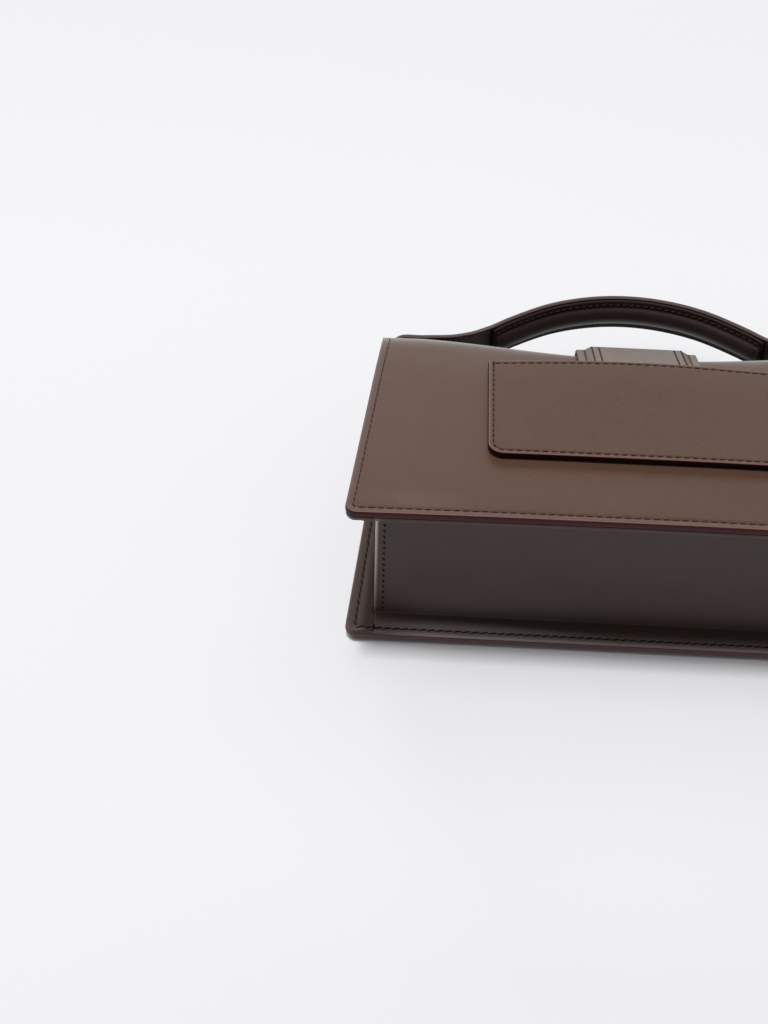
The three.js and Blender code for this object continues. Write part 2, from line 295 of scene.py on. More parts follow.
@dataclass(frozen=True)
class Leather:
    """Smooth calf leather with a painted edge, a paler rim that is partly burnished and partly painted
    highlight, and marks for painted shade and sheen.
    """

    name: str
    colour: tuple
    border_colour: tuple
    rim_sheen_colour: tuple
    paint_colour: tuple
    roughness: float = 0.42
    paint_roughness: float = 0.3
    grain: float = 0.55
    grain_depth: float = 0.018
    mottle: float = 0.10
    specular: float = 0.5
    sewn_shade: float = 0.25
    edge_coat: float = 0.12
    # gleam_colour: colour of the painted sheen, highlights and reflections laid where the gleam mark is set.
    gleam_colour: tuple = linear(205, 192, 189)
    sheen_spots: tuple = ()

    def material(self) -> bpy.types.Material:
        """Makes the leather's material.

        Returns:
            A material that reads the marks border, rim, paint, groove, crease_shade and gleam of the mesh;
            rim is partly painted highlight, crease_shade is painted shade and gleam is painted sheen.
        """
        tree = FinishTree(self.name)
        cloud = tree.speckle(34.0, 3.0)
        fleck = tree.speckle(1.6, 4.0)
        shade = (cloud - 0.5) * self.mottle + (fleck - 0.5) * (self.mottle * 0.55)
        dark = tuple(c * 0.45 for c in self.colour[:3]) + (1.0,)
        light = tuple(min(1.0, c * 1.55) for c in self.colour[:3]) + (1.0,)
        toned = tree.blend(shade + 0.5, dark, light)
        base = tree.blend(0.62, toned, self.colour)
        # sheen_spots: pale spots painted as sheen and highlights on the leather.
        for centre, reach, strength in self.sheen_spots:
            pale = tuple(min(1.0, c * 1.25 + 0.045) for c in self.colour[:3]) + (1.0,)
            base = tree.blend(tree.spot(centre, reach) * strength, base, pale)
        bordered = tree.blend(tree.mark("border") * 0.7, base, self.border_colour)
        # Rim: paler colour on the edge's top rounding, partly burnished leather and partly painted highlight.
        rimmed = tree.blend(tree.mark("rim"), bordered, self.rim_sheen_colour)
        streak = tree.speckle(6.0, 3.0)
        paint_dark = tuple(c * 0.55 for c in self.paint_colour[:3]) + (1.0,)
        paint = tree.blend(streak, self.paint_colour, paint_dark)
        edge = tree.mark("paint").between(0.25, 0.75)
        painted = tree.blend(edge, rimmed, paint)
        sewn = tree.blend(tree.mark("groove").between(0.3, 1.0) * self.sewn_shade, painted, dark)
        # crease_shade: painted shade in bends and ribs, blended towards the leather's dark tone.
        crease_shaded = tree.blend(tree.mark("crease_shade") * 0.8, sewn, dark)
        # Gleam: painted sheen, highlight and reflection in gleam_colour.
        tree.set_input(tree.shader, "Base Color", tree.blend(tree.mark("gleam"), crease_shaded, self.gleam_colour))
        rough = tree.speckle(9.0, 3.0) * 0.10 + (self.roughness - 0.05)
        gloss = (1 - edge) * rough + edge * self.paint_roughness + tree.mark("crease_shade") * 0.35
        tree.set_input(tree.shader, "Roughness", gloss)
        fine = tree.bump(tree.pebbles(self.grain).between(0.0, 0.22), self.grain_depth)
        pores = tree.bump(tree.speckle(0.28, 2.0), self.grain_depth * 0.8, fine)
        waves = tree.bump(tree.speckle(26.0, 1.0), 0.10, pores)
        tree.set_input(tree.shader, "Normal", waves)
        tree.set_input(tree.shader, "Coat Weight", edge * self.edge_coat)
        tree.shader.inputs["Coat Roughness"].default_value = self.paint_roughness
        tree.shader.inputs["Specular IOR Level"].default_value = self.specular
        return tree.material


@dataclass(frozen=True)
class ThreadFinish:
    """Twisted, waxed sewing thread."""

    name: str
    colour: tuple
    roughness: float = 0.75
    specular: float = 0.2

    def material(self) -> bpy.types.Material:
        """Makes the thread's material, with its twist as bump.

        Returns:
            The material.
        """
        tree = FinishTree(self.name)
        pale = tuple(min(1.0, c * 1.6) for c in self.colour[:3]) + (1.0,)
        fibre = tree.speckle(0.5, 3.0)
        tree.set_input(tree.shader, "Base Color", tree.blend(fibre.between(0.35, 0.9), self.colour, pale))
        tree.set_input(tree.shader, "Roughness", fibre * 0.2 + (self.roughness - 0.1))
        tree.set_input(tree.shader, "Normal", tree.bump(tree.speckle(0.25, 2.0), 0.05))
        tree.shader.inputs["Specular IOR Level"].default_value = self.specular
        return tree.material


@dataclass(frozen=True)
class FloorFinish:
    """Pale, matt paper under the bag, with painted light in front of it and painted shade far behind it."""

    name: str
    colour: tuple
    near_shade: float = 1.075
    far_shade: float = 0.925
    far_start: float = 170.0
    far_end: float = 520.0
    near_centre: tuple = (5, -100, 0)
    near_reach: tuple = (270, 125, 300)

    def toned(self, share: float) -> tuple:
        """The paper's colour times a share."""
        return tuple(c * share for c in self.colour[:3]) + (1.0,)

    def material(self) -> bpy.types.Material:
        """Makes the floor's material, with a faint tooth.

        Returns:
            The material.
        """
        tree = FinishTree(self.name)
        soft = tree.speckle(400.0, 2.0)
        paper = tree.blend(soft, self.colour, self.toned(0.985))
        # near and far carry painted light in front of the bag and painted shade far behind it.
        near = tree.spot(self.near_centre, self.near_reach)
        depth = tree.add("ShaderNodeSeparateXYZ", {}, {0: tree.place()}, output="Y")
        far = depth.between((self.far_start + BASE_Y) * MM, (self.far_end + BASE_Y) * MM)
        lit = tree.blend(near, paper, self.toned(self.near_shade))
        tree.set_input(tree.shader, "Base Color", tree.blend(far, lit, self.toned(self.far_shade)))
        tree.set_input(tree.shader, "Normal", tree.bump(tree.speckle(1.2, 2.0), 0.02))
        tree.shader.inputs["Roughness"].default_value = 0.85
        tree.shader.inputs["Specular IOR Level"].default_value = 0.15
        return tree.material


class Slot(Enum):
    """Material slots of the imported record."""

    PANEL = "panel_leather"
    GUSSET = "gusset_leather"
    HANDLE = "handle_leather"


def add_piece(name: str, points: Sequence[Sequence[float]], faces: Sequence[Sequence[int]],
              material: bpy.types.Material, slot: Optional[Slot]) -> bpy.types.Object:
    """Makes a smooth mesh object and lets it ride on the bag.

    Args:
        name: the object's name.
        points: vertices in metres.
        faces: vertex numbers of each face.
        material: its material.
        slot: slot of the record, or None for a part of the stage.

    Returns:
        The new object.
    """
    mesh = bpy.data.meshes.new(name)
    mesh.from_pydata([tuple(p) for p in points], [], [tuple(f) for f in faces])
    mesh.shade_smooth()
    mesh.materials.append(material)
    mesh.update()
    piece = bpy.data.objects.new(name, mesh)
    bpy.context.scene.collection.objects.link(piece)
    if slot is not None:
        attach(piece, ROOT)
    return piece


def face_out(piece: bpy.types.Object) -> None:
    """Turns a closed mesh's faces outwards where its volume is negative.

    Args:
        piece: the mesh object.
    """
    mesh = piece.data
    volume = 0.0
    for face in mesh.polygons:
        corners = [mesh.vertices[v].co for v in face.vertices]
        for b, c in zip(corners[1:], corners[2:]):
            volume += corners[0].dot(b.cross(c))
    if volume < 0:
        mesh.flip_normals()


@dataclass(frozen=True)
class BagForm:
    """Main form of the bag, which all its pieces follow."""

    height: float = 121.4
    width_base: float = 240.0
    width_mouth: float = 221.6
    corner: float = 5.0
    front_thickness: float = 3.2
    back_thickness: float = 2.4
    depth_base: float = 78.8
    depth_mouth: float = 57.8
    bow: float = 1.2
    mouth_roll: float = 2.5
    mouth_roll_start: float = 84.0
    mouth_dip: float = 8.0
    mouth_dip_span: float = 190.0
    mouth_dip_shape: float = 1.4
    gusset_wall: float = 1.8
    base_inset: float = 11.0
    side_inset_base: float = 12.0
    side_inset_mouth: float = 6.3
    flange_step: float = 0.4
    gap: float = 0.3

    def half_width(self, y: float) -> float:
        """Half the panels' width at a height above the base, without corners."""
        return lerp(self.width_base, self.width_mouth, y / self.height) / 2

    def side_face(self, y: float) -> float:
        """Outside of the side gussets at a height above the base."""
        return self.half_width(y) - lerp(self.side_inset_base, self.side_inset_mouth, y / self.height)

    def ramp(self, x: float, y: float) -> float:
        """Front panel's outside before its roll and dip at the mouth."""
        drop = (self.depth_base - self.depth_mouth - self.mouth_roll) * y / self.height
        return self.depth_base - drop + self.bow * half_wave(x, self.width_base)

    def roll_share(self, y: float) -> float:
        """Share of the roll along the mouth that is reached at a height above the base."""
        near = max(0.0, (y - self.mouth_roll_start) / (self.height - self.mouth_roll_start))
        return near * near

    def front_face(self, x: float, y: float) -> float:
        """Front panel's outside."""
        dip = self.mouth_dip * max(0.0, half_wave(x, self.mouth_dip_span)) ** self.mouth_dip_shape
        return self.ramp(x, y) - (self.mouth_roll + dip) * self.roll_share(y)

    @property
    def back_flange_z(self) -> float:
        """Middle of the wall of the gussets' back flanges."""
        return self.back_thickness + self.gap + self.gusset_wall / 2

    @property
    def front_flange_drop(self) -> float:
        """Middle of the wall of the gussets' front flanges, below the front panel's outside."""
        return self.front_thickness + self.gap + self.gusset_wall / 2


@dataclass(frozen=True)
class Groove:
    """A sewn channel that runs along a sheet's edge."""

    inset: float
    half_width: float = 0.9
    depth: float = 0.22


@dataclass(frozen=True)
class EdgeCut:
    """How a sheet's edge is cut, rounded and painted."""

    thickness: float
    top_round: float = 0.9
    under_round: float = 0.7
    bulge: float = 0.12
    steps: int = 4
    groove: Optional[Groove] = None

    def inner(self) -> float:
        """Inset of the innermost ring.

        Returns:
            Distance in millimetres from the sheet's edge.
        """
        reach = self.top_round * 1.8
        if self.groove is not None:
            reach = max(reach, self.groove.inset + self.groove.half_width * 1.6)
        return reach

    def profile(self) -> list[tuple[float, float, float, float, float]]:
        """Section round the edge, from the underside to the top.

        Returns:
            Rows of inset, height, paint mark, rim mark and share of the groove's depth.
        """
        rows = [(self.inner(), 0.0, 0.0, 0.0, 0.0), (self.under_round + 0.3, 0.0, 0.0, 0.0, 0.0)]
        for i in range(self.steps + 1):
            angle = math.pi / 2 * i / self.steps
            inset = self.under_round * (1 - math.sin(angle))
            height = self.under_round * (1 - math.cos(angle))
            rows.append((inset, height, smooth_step(i / self.steps, 0.0, 0.3), 0.0, 0.0))
        rows.append((-self.bulge, self.thickness / 2, 1.0, 0.0, 0.0))
        for i in range(self.steps, -1, -1):
            angle = math.pi / 2 * i / self.steps
            inset = self.top_round * (1 - math.sin(angle))
            height = self.thickness - self.top_round * (1 - math.cos(angle))
            share = i / self.steps
            # rim: share of the paler rim colour, partly burnish and partly painted highlight.
            rim = clamp(1 - abs(share - 0.25) / 0.4)
            rows.append((inset, height, smooth_step(share, 0.25, 0.7), rim, 0.0))
        rows.append((self.top_round * 1.3, self.thickness, 0.0, 0.1, 0.0))
        if self.groove is not None:
            for share, depth in ((-1.0, 0.0), (-0.5, 0.6), (0.0, 1.0), (0.5, 0.6), (1.0, 0.0)):
                inset = self.groove.inset + share * self.groove.half_width
                rows.append((inset, self.thickness, 0.0, 0.0, depth))
        rows.append((self.inner(), self.thickness, 0.0, 0.0, 0.0))
        return rows


def shares_along(points: Sequence[Pair]) -> list[float]:
    """Share of a line's length that is reached at each of its points.

    Args:
        points: the line's points.

    Returns:
        Shares from 0 to 1, one for each point.
    """
    steps = [0.0] + [math.dist(a, b) for a, b in zip(points, points[1:])]
    lengths = np.cumsum(steps)
    return list(lengths / lengths[-1])


def inward_normals(points: np.ndarray) -> np.ndarray:
    """Unit vectors to the left of a line at each of its points.

    Args:
        points: the line's points, as rows.

    Returns:
        A unit vector for each point, as rows.
    """
    ahead = np.diff(points, axis=0)
    ahead /= np.linalg.norm(ahead, axis=1)[:, None]
    along = np.vstack([ahead[:1], ahead[1:] + ahead[:-1], ahead[-1:]])
    along /= np.linalg.norm(along, axis=1)[:, None]
    return np.stack([-along[:, 1], along[:, 0]], 1)


def mitre(before: np.ndarray, after: np.ndarray) -> np.ndarray:
    """Push of a corner that moves both of its sides by 1 along their normals."""
    return (before + after) / max(0.3, 1 + float(before @ after))


@dataclass
class FlatCut:
    """Flat outline of a sheet, as four sides of points.

    The bottom and top run the same way and have as many points, and so do the left and right.
    """

    bottom: list[Pair]
    right: list[Pair]
    top: list[Pair]
    left: list[Pair]
    sewn: tuple[bool, bool, bool, bool] = (True, True, True, True)
    painted: tuple[bool, bool, bool, bool] = (True, True, True, True)

    def inset(self, distance: float) -> list[Pair]:
        """Outline moved inwards, with sharp corners kept sharp.

        Args:
            distance: how far, negative for outwards.

        Returns:
            All points once round, against the clock.
        """
        sides = [np.array(s, float) for s in (self.bottom, self.right, self.top[::-1], self.left[::-1])]
        inward = [inward_normals(points) for points in sides]
        loop: list[Pair] = []
        for k, points in enumerate(sides):
            normal = inward[k]
            start, end = mitre(inward[k - 1][-1], normal[0]), mitre(normal[-1], inward[(k + 1) % 4][0])
            share = np.array(shares_along(points))[:, None]
            push = normal + (1 - share) * (start - normal[0]) + share * (end - normal[-1])
            loop += [(float(x), float(y)) for x, y in (points + push * distance)[:-1]]
        return loop

    def spread(self, flags: Sequence[bool]) -> list[float]:
        """For each point of the outline, 1 where its side's flag is set and 0 elsewhere."""
        counts = (len(self.bottom) - 1, len(self.right) - 1, len(self.top) - 1, len(self.left) - 1)
        return [float(flag) for flag, count in zip(flags, counts) for _ in range(count)]


def quilt(bottom: list[Pair], right: list[Pair], top: list[Pair], left: list[Pair]) -> list[list[Pair]]:
    """Grid of points that is stretched between four sides.

    Args:
        bottom, right, top, left: the sides, as in FlatCut.

    Returns:
        Rows of points from the bottom to the top.
    """
    across = [(a + b) / 2 for a, b in zip(shares_along(bottom), shares_along(top))]
    upward = [(a + b) / 2 for a, b in zip(shares_along(left), shares_along(right))]
    corners = np.array([bottom[0], bottom[-1], top[0], top[-1]], float)
    low, high = np.array(bottom, float), np.array(top, float)
    west, east = np.array(left, float), np.array(right, float)
    rows = []
    for j, v in enumerate(upward):
        row = []
        for i, u in enumerate(across):
            corner_mix = ((1 - u) * (1 - v) * corners[0] + u * (1 - v) * corners[1]
                          + (1 - u) * v * corners[2] + u * v * corners[3])
            point = (1 - v) * low[i] + v * high[i] + (1 - u) * west[j] + u * east[j] - corner_mix
            row.append((float(point[0]), float(point[1])))
        rows.append(row)
    return rows


@dataclass
class Sheet:
    """A leather sheet: a flat cut with an edge, placed on the bag by a function."""

    name: str
    cut: FlatCut
    edge: EdgeCut
    place: Place
    slot: Slot
    border_inset: float = 0.0
    crease_shade: Callable[[float, float], float] = lambda s, t: 0.0
    gleam: Callable[[float, float], float] = lambda s, t: 0.0

    def build(self, material: bpy.types.Material) -> bpy.types.Object:
        """Makes the sheet's closed mesh with its marks.

        Args:
            material: the leather's material.

        Returns:
            The new object.
        """
        sewn, painted = self.cut.spread(self.cut.sewn), self.cut.spread(self.cut.painted)
        size = len(sewn)
        flat: list[tuple[float, float, float]] = []
        values: list[tuple[float, ...]] = []
        profile = self.edge.profile()
        sunk = self.edge.groove.depth if self.edge.groove else 0.0
        for inset, height, paint, rim, depth in profile:
            for (s, t), seam, coat in zip(self.cut.inset(inset), sewn, painted):
                flat.append((s, t, height - depth * seam * sunk))
                outside = 1.0 if inset < self.border_inset else 0.0
                values.append((paint * coat, rim * coat, outside * seam * (1 - paint), depth * seam))
        faces: list[tuple[int, ...]] = []
        for ring in range(len(profile) - 1):
            for k in range(size):
                a, b = ring * size + k, ring * size + (k + 1) % size
                faces.append((a, b, b + size, a + size))
        self.fill(flat, values, faces, 0, 0.0, True)
        self.fill(flat, values, faces, (len(profile) - 1) * size, self.edge.thickness, False)
        points = [to_metres(self.place(s, t, h)) for s, t, h in flat]
        piece = add_piece(self.name, points, faces, material, self.slot)
        face_out(piece)
        marks = dict(zip(("paint", "rim", "border", "groove"), zip(*values)))
        marks["crease_shade"] = [self.crease_shade(s, t) for s, t, _ in flat]
        marks["gleam"] = [self.gleam(s, t) for s, t, _ in flat]
        for mark, data in marks.items():
            layer = piece.data.attributes.new(mark, "FLOAT", "POINT")
            layer.data.foreach_set("value", np.array(data, np.float32))
        return piece

    def fill(self, flat: list, values: list, faces: list, start: int, height: float, flip: bool) -> None:
        """Fills one side of the sheet inside its innermost ring.

        Args:
            flat: flat points with heights, added to.
            values: marks of the points, added to.
            faces: faces, added to.
            start: number of the ring's first point.
            height: height of the side over the underside.
            flip: True for the underside.
        """
        wide, high = len(self.cut.bottom) - 1, len(self.cut.left) - 1
        size = 2 * (wide + high)
        ring = [flat[start + k][:2] for k in range(size)]
        number = {}
        for i in range(wide + 1):
            number[(i, 0)] = start + i
            number[(i, high)] = start + wide + high + (wide - i)
        for j in range(high + 1):
            number[(wide, j)] = start + wide + j
            number[(0, j)] = start + (size - j) % size
        bottom = [ring[number[(i, 0)] - start] for i in range(wide + 1)]
        top = [ring[number[(i, high)] - start] for i in range(wide + 1)]
        left = [ring[number[(0, j)] - start] for j in range(high + 1)]
        right = [ring[number[(wide, j)] - start] for j in range(high + 1)]
        rows = quilt(bottom, right, top, left)
        for j in range(1, high):
            for i in range(1, wide):
                number[(i, j)] = len(flat)
                flat.append((*rows[j][i], height))
                values.append((0.0, 0.0, 0.0, 0.0))
        for j in range(high):
            for i in range(wide):
                face = (number[(i, j)], number[(i + 1, j)], number[(i + 1, j + 1)], number[(i, j + 1)])
                faces.append(face[::-1] if flip else face)


def straight(start: Pair, end: Pair, count: int) -> list[Pair]:
    """Evenly spaced points on a straight line, with both ends."""
    return [(lerp(start[0], end[0], i / count), lerp(start[1], end[1], i / count)) for i in range(count + 1)]


def spread_like(points: Sequence[Pair], start: Pair, end: Pair) -> list[Pair]:
    """Points on a straight line, spaced as the points of another line are."""
    return [(lerp(start[0], end[0], s), lerp(start[1], end[1], s)) for s in shares_along(points)]


def rounded_cut(half_width: Callable[[float], float], height: float, radius: float, pitch: float,
                top_rise: Callable[[float], float] = lambda x: 0.0) -> FlatCut:
    """Cut with straight sides and two rounded lower corners.

    Args:
        half_width: half the width at a height.
        height: height of the sides.
        radius: radius of the lower corners.
        pitch: distance between points.
        top_rise: how far the top edge rises at a distance from the middle.

    Returns:
        The cut.
    """
    steps = 6

    def corner(hand: int, angle: float) -> Pair:
        """Point on a lower corner, from the base at angle 0 to the side at a right angle."""
        y = radius * (1 - math.cos(angle))
        return (hand * (half_width(y) - radius * (1 - math.sin(angle))), y)

    low_arc = [math.pi / 4 * i / steps for i in range(steps + 1)]
    high_arc = [math.pi / 4 * (1 + i / steps) for i in range(steps + 1)]
    base_left, base_right = corner(-1, 0.0), corner(1, 0.0)
    columns = max(2, round(2 * base_right[0] / pitch))
    rows = max(2, round((height - radius) / pitch))
    base = straight(base_left, base_right, columns)
    bottom = [corner(-1, a) for a in reversed(low_arc)][:-1] + base + [corner(1, a) for a in low_arc][1:]
    sides = []
    for hand in (-1, 1):
        arc = [corner(hand, a) for a in high_arc]
        up = straight(arc[-1], (hand * half_width(height), height), rows)
        sides.append(arc[:-1] + up)
    top = spread_like(bottom, sides[0][-1], sides[1][-1])
    top = [(x, y + top_rise(x)) for x, y in top]
    return FlatCut(bottom, sides[1], top, sides[0])


def strip_cut(width: float, length: float, columns: int, rows: int) -> FlatCut:
    """Plain strip that is centred across and starts at 0 along.

    Args:
        width: distance across.
        length: distance along.
        columns, rows: number of stretches across and along.

    Returns:
        The cut.
    """
    half = width / 2
    return FlatCut(
        straight((-half, 0), (half, 0), columns), straight((half, 0), (half, length), rows),
        straight((-half, length), (half, length), columns), straight((-half, 0), (-half, length), rows),
    )


@dataclass(frozen=True)
class Bend:
    """A point on a bent line, and the direction to the line's left."""

    point: Pair
    left: Pair


def bent_line(corners: Sequence[Pair], radii: Sequence[float], pitch: float) -> list[Bend]:
    """Line through corners in a plane, with rounded bends.

    Args:
        corners: the line's corners.
        radii: radius of each corner's bend, 0 at the ends.
        pitch: distance between points on the straights.

    Returns:
        Points along the line with the directions to their left.
    """
    steps = 8
    points: list[Vector] = []
    for i, corner in enumerate(corners):
        here = Vector(corner)
        if radii[i] == 0:
            points.append(here)
            continue
        before = (Vector(corners[i - 1]) - here).normalized()
        after = (Vector(corners[i + 1]) - here).normalized()
        half_angle = before.angle(after) / 2
        centre = here + (before + after).normalized() * (radii[i] / math.sin(half_angle))
        start = here + before * (radii[i] / math.tan(half_angle)) - centre
        end = here + after * (radii[i] / math.tan(half_angle)) - centre
        turn = math.atan2(start.x * end.y - start.y * end.x, start.dot(end))
        for k in range(steps + 1):
            points.append(centre + Matrix.Rotation(turn * k / steps, 2) @ start)
    filled = [points[0]]
    for a, b in zip(points, points[1:]):
        parts = max(1, round((b - a).length / pitch))
        filled += [a.lerp(b, (k + 1) / parts) for k in range(parts)]
    line = []
    for i, point in enumerate(filled):
        along = (filled[min(i + 1, len(filled) - 1)] - filled[max(i - 1, 0)]).normalized()
        line.append(Bend((point.x, point.y), (-along.y, along.x)))
    return line


class Rail:
    """A line that a sheet follows, read at any distance along it."""

    def __init__(self, line: Sequence[Bend]) -> None:
        """Stores a line and its lengths.

        Args:
            line: the bent line's points.
        """
        self.points = np.array([b.point for b in line], float)
        self.lefts = np.array([b.left for b in line], float)
        steps = np.linalg.norm(np.diff(self.points, axis=0), axis=1)
        self.lengths = np.concatenate([[0.0], np.cumsum(steps)])

    @property
    def length(self) -> float:
        """Length of the whole line."""
        return float(self.lengths[-1])

    def at(self, distance: float, offset: float = 0.0) -> Pair:
        """Point at a distance along the line.

        Args:
            distance: length from the start, carried on straight past the ends.
            offset: distance to the left of the line.

        Returns:
            The point.
        """
        held = clamp(distance, 0.0, self.length)
        point = np.array([np.interp(held, self.lengths, self.points[:, k]) for k in (0, 1)])
        left = np.array([np.interp(held, self.lengths, self.lefts[:, k]) for k in (0, 1)])
        left /= np.linalg.norm(left)
        along = np.array([left[1], -left[0]])
        moved = point + left * offset + along * (distance - held)
        return (float(moved[0]), float(moved[1]))

    def distance_of(self, axis: int, value: float) -> float:
        """Distance along the line where one of its coordinates, which rises, reaches a value."""
        return float(np.interp(value, self.points[:, axis], self.lengths))


@dataclass(frozen=True)
class Stitching:
    """How a thread is laid along a seam."""

    pitch: float = 3.66
    gap: float = 0.75
    radius: float = 0.30
    rise: float = 0.16
    slant: float = 9.0
    rings: int = 6
    sides: int = 6


@dataclass
class Seam:
    """A row of stitches along a path on a sheet."""

    name: str
    path: list[tuple[Vector, Vector]]
    stitching: Stitching
    slot: Slot

    def template(self, length: float) -> tuple[np.ndarray, list[tuple[int, ...]]]:
        """One stitch along x, rising from two holes.

        Args:
            length: distance between its holes.

        Returns:
            Points in millimetres, and faces.
        """
        laid = self.stitching
        points, faces = [], []
        for ring in range(laid.rings + 1):
            share = ring / laid.rings
            hump = 1 - (2 * share - 1) ** 4
            thick = laid.radius * (0.55 + 0.45 * math.sin(math.pi * share) ** 0.5)
            centre = laid.rise * hump - laid.radius * 1.5 * (1 - hump)
            for side in range(laid.sides):
                angle = 2 * math.pi * side / laid.sides
                y, z = thick * math.cos(angle), centre + thick * 0.8 * math.sin(angle)
                points.append(((share - 0.5) * length, y, z))
        for ring in range(laid.rings):
            for side in range(laid.sides):
                a = ring * laid.sides + side
                b = ring * laid.sides + (side + 1) % laid.sides
                faces.append((a, a + laid.sides, b + laid.sides, b))
        last = laid.rings * laid.sides
        faces.append(tuple(range(laid.sides)))
        faces.append(tuple(last + k for k in reversed(range(laid.sides))))
        return np.array(points), faces

    def sew(self, material: bpy.types.Material) -> bpy.types.Object:
        """Makes the stitches as one mesh.

        Args:
            material: the thread's material.

        Returns:
            The new object.
        """
        spots = np.array([tuple(p) for p, _ in self.path])
        normals = np.array([tuple(n) for _, n in self.path])
        lengths = np.concatenate([[0.0], np.cumsum(np.linalg.norm(np.diff(spots, axis=0), axis=1))])
        count = max(1, round(lengths[-1] / MM / self.stitching.pitch))
        pitch = lengths[-1] / count
        stitch, stitch_faces = self.template(pitch / MM - self.stitching.gap)
        stitch = stitch * MM
        angle = math.radians(self.stitching.slant)
        points, faces = [], []
        for k in range(count):
            stops = [pitch * (k + share) for share in (0.15, 0.5, 0.85)]
            start, middle, end = (self.read(spots, lengths, stop) for stop in stops)
            normal = self.read(normals, lengths, pitch * (k + 0.5))
            normal /= np.linalg.norm(normal)
            along = end - start
            along -= normal * along.dot(normal)
            along /= np.linalg.norm(along)
            across = np.cross(normal, along)
            turned = along * math.cos(angle) + across * math.sin(angle)
            basis = np.array([turned, np.cross(normal, turned), normal])
            faces += [tuple(v + len(points) for v in face) for face in stitch_faces]
            points += list(stitch @ basis + middle)
        return add_piece(self.name, points, faces, material, self.slot)

    @staticmethod
    def read(rows: np.ndarray, lengths: np.ndarray, distance: float) -> np.ndarray:
        """Row of values at a distance along the path."""
        return np.array([np.interp(distance, lengths, rows[:, k]) for k in range(3)])


def surface_path(place: Place, flat: Sequence[Pair], height: float,
                 lift: float = 0.0) -> list[tuple[Vector, Vector]]:
    """Path on a sheet's upper side, with the sheet's normals.

    Args:
        place: the sheet's placing function.
        flat: points in the sheet's flat coordinates.
        height: height of the upper side.
        lift: distance over the upper side.

    Returns:
        Points and normals in the frame.
    """
    step = 0.4
    path = []
    for s, t in flat:
        here = to_metres(place(s, t, height + lift))
        across = to_metres(place(s + step, t, height)) - to_metres(place(s - step, t, height))
        upward = to_metres(place(s, t + step, height)) - to_metres(place(s, t - step, height))
        path.append((here, across.cross(upward).normalized()))
    return path


def densify(points: Sequence[Pair], pitch: float = 1.0) -> list[Pair]:
    """The same line with points at most a pitch apart.

    Args:
        points: the line's points.
        pitch: the largest distance between two points.

    Returns:
        The denser line.
    """
    dense = [points[0]]
    for a, b in zip(points, points[1:]):
        parts = max(1, math.ceil(math.dist(a, b) / pitch))
        dense += [(lerp(a[0], b[0], k / parts), lerp(a[1], b[1], k / parts)) for k in range(1, parts + 1)]
    return dense


def inner_sides(cut: FlatCut, inset: float, names: str) -> list[Pair]:
    """Line that runs inside some sides of a cut.

    Args:
        cut: the sheet's cut.
        inset: distance inside its edge.
        names: the sides in order, as letters of "lbrt" for left, bottom, right and top.

    Returns:
        Points from the first side to the last, against the clock.
    """
    ring = cut.inset(inset)
    wide, high = len(cut.bottom) - 1, len(cut.left) - 1
    starts = {"b": 0, "r": wide, "t": wide + high, "l": 2 * wide + high}
    counts = {"b": wide, "r": high, "t": wide, "l": high}
    points: list[Pair] = []
    for name in names:
        numbers = [(starts[name] + k) % len(ring) for k in range(counts[name] + 1)]
        side = [ring[n] for n in numbers]
        points += side if not points else side[1:]
    return points


class Workshop:
    """The materials of the bag, made once."""

    def __init__(self) -> None:
        """Makes every leather and thread."""
        burgundy = linear(66, 14, 22)
        # panel_calf: its sheen_spots are painted highlights, lighter over the left side and along the lower
        # edge; its grey gleam colour paints the sheen at the mouth.
        self.panel = Leather(
            "panel_calf", linear(85, 61, 48), linear(97, 75, 67), linear(128, 92, 87), burgundy,
            roughness=0.40, paint_roughness=0.45, specular=0.13, gleam_colour=linear(198, 202, 200),
            sheen_spots=(
                ((-118, 60, 79), (110, 150, 60), 0.20), ((-92, 9, 79), (26, 10, 12), 0.26),
                ((-20, 14, 78), (60, 14, 14), 0.10),
            ),
        ).material()
        # gusset_calf: a darker, greyer copy of the panel's leather, as painted shade on the gussets; its
        # sheen spot is a painted pale sheen low on the web.
        self.gusset = Leather(
            "gusset_calf", linear(66, 51, 45), linear(70, 54, 48), linear(104, 80, 76), linear(78, 54, 53),
            roughness=0.45, paint_roughness=0.4, specular=0.30, sewn_shade=0.5,
            sheen_spots=(((-57, 11, 27), (10, 6, 6), 0.10),),
        ).material()
        self.strap = Leather(
            "strap_calf", linear(92, 74, 60), linear(92, 74, 60), linear(118, 88, 82), burgundy,
            roughness=0.36, paint_roughness=0.4, specular=0.55,
        ).material()
        # handle_calf: its paler edge paint is painted sheen on the strap's edges.
        self.handle = Leather(
            "handle_calf", linear(34, 22, 19), linear(33, 21, 19), linear(84, 56, 52), linear(94, 70, 67),
            roughness=0.55, paint_roughness=0.45, specular=0.14,
        ).material()
        # roll_calf: its pale gleam colour paints the reflection on the roll's lower flank, and its darker rim
        # keeps the rim highlight dim.
        self.roll = Leather(
            "roll_calf", linear(38, 24, 21), linear(33, 21, 19), linear(42, 27, 24), linear(44, 26, 25),
            roughness=0.62, paint_roughness=0.6, specular=0.2, edge_coat=0.0,
            gleam_colour=linear(190, 192, 190),
        ).material()
        # flap_calf: its darker edge paint is painted shade on the plate's edges.
        self.flap = Leather(
            "flap_calf", linear(84, 60, 47), linear(92, 68, 59), linear(126, 92, 88), linear(38, 16, 17),
            roughness=0.40, paint_roughness=0.45, specular=0.13, edge_coat=0.05,
        ).material()
        # back_calf: its paler, greyer edge paint is partly the edge's own colour and partly a painted
        # reflection of the floor.
        self.back = Leather(
            "back_calf", linear(85, 61, 48), linear(90, 66, 55), linear(128, 96, 92), linear(106, 76, 76),
            roughness=0.40, paint_roughness=0.45, specular=0.13,
        ).material()
        self.panel_thread = ThreadFinish("brown_thread", linear(40, 24, 19)).material()
        self.dark_thread = ThreadFinish("dark_thread", linear(16, 11, 11)).material()
        self.handle_thread = ThreadFinish("russet_thread", linear(76, 50, 44)).material()


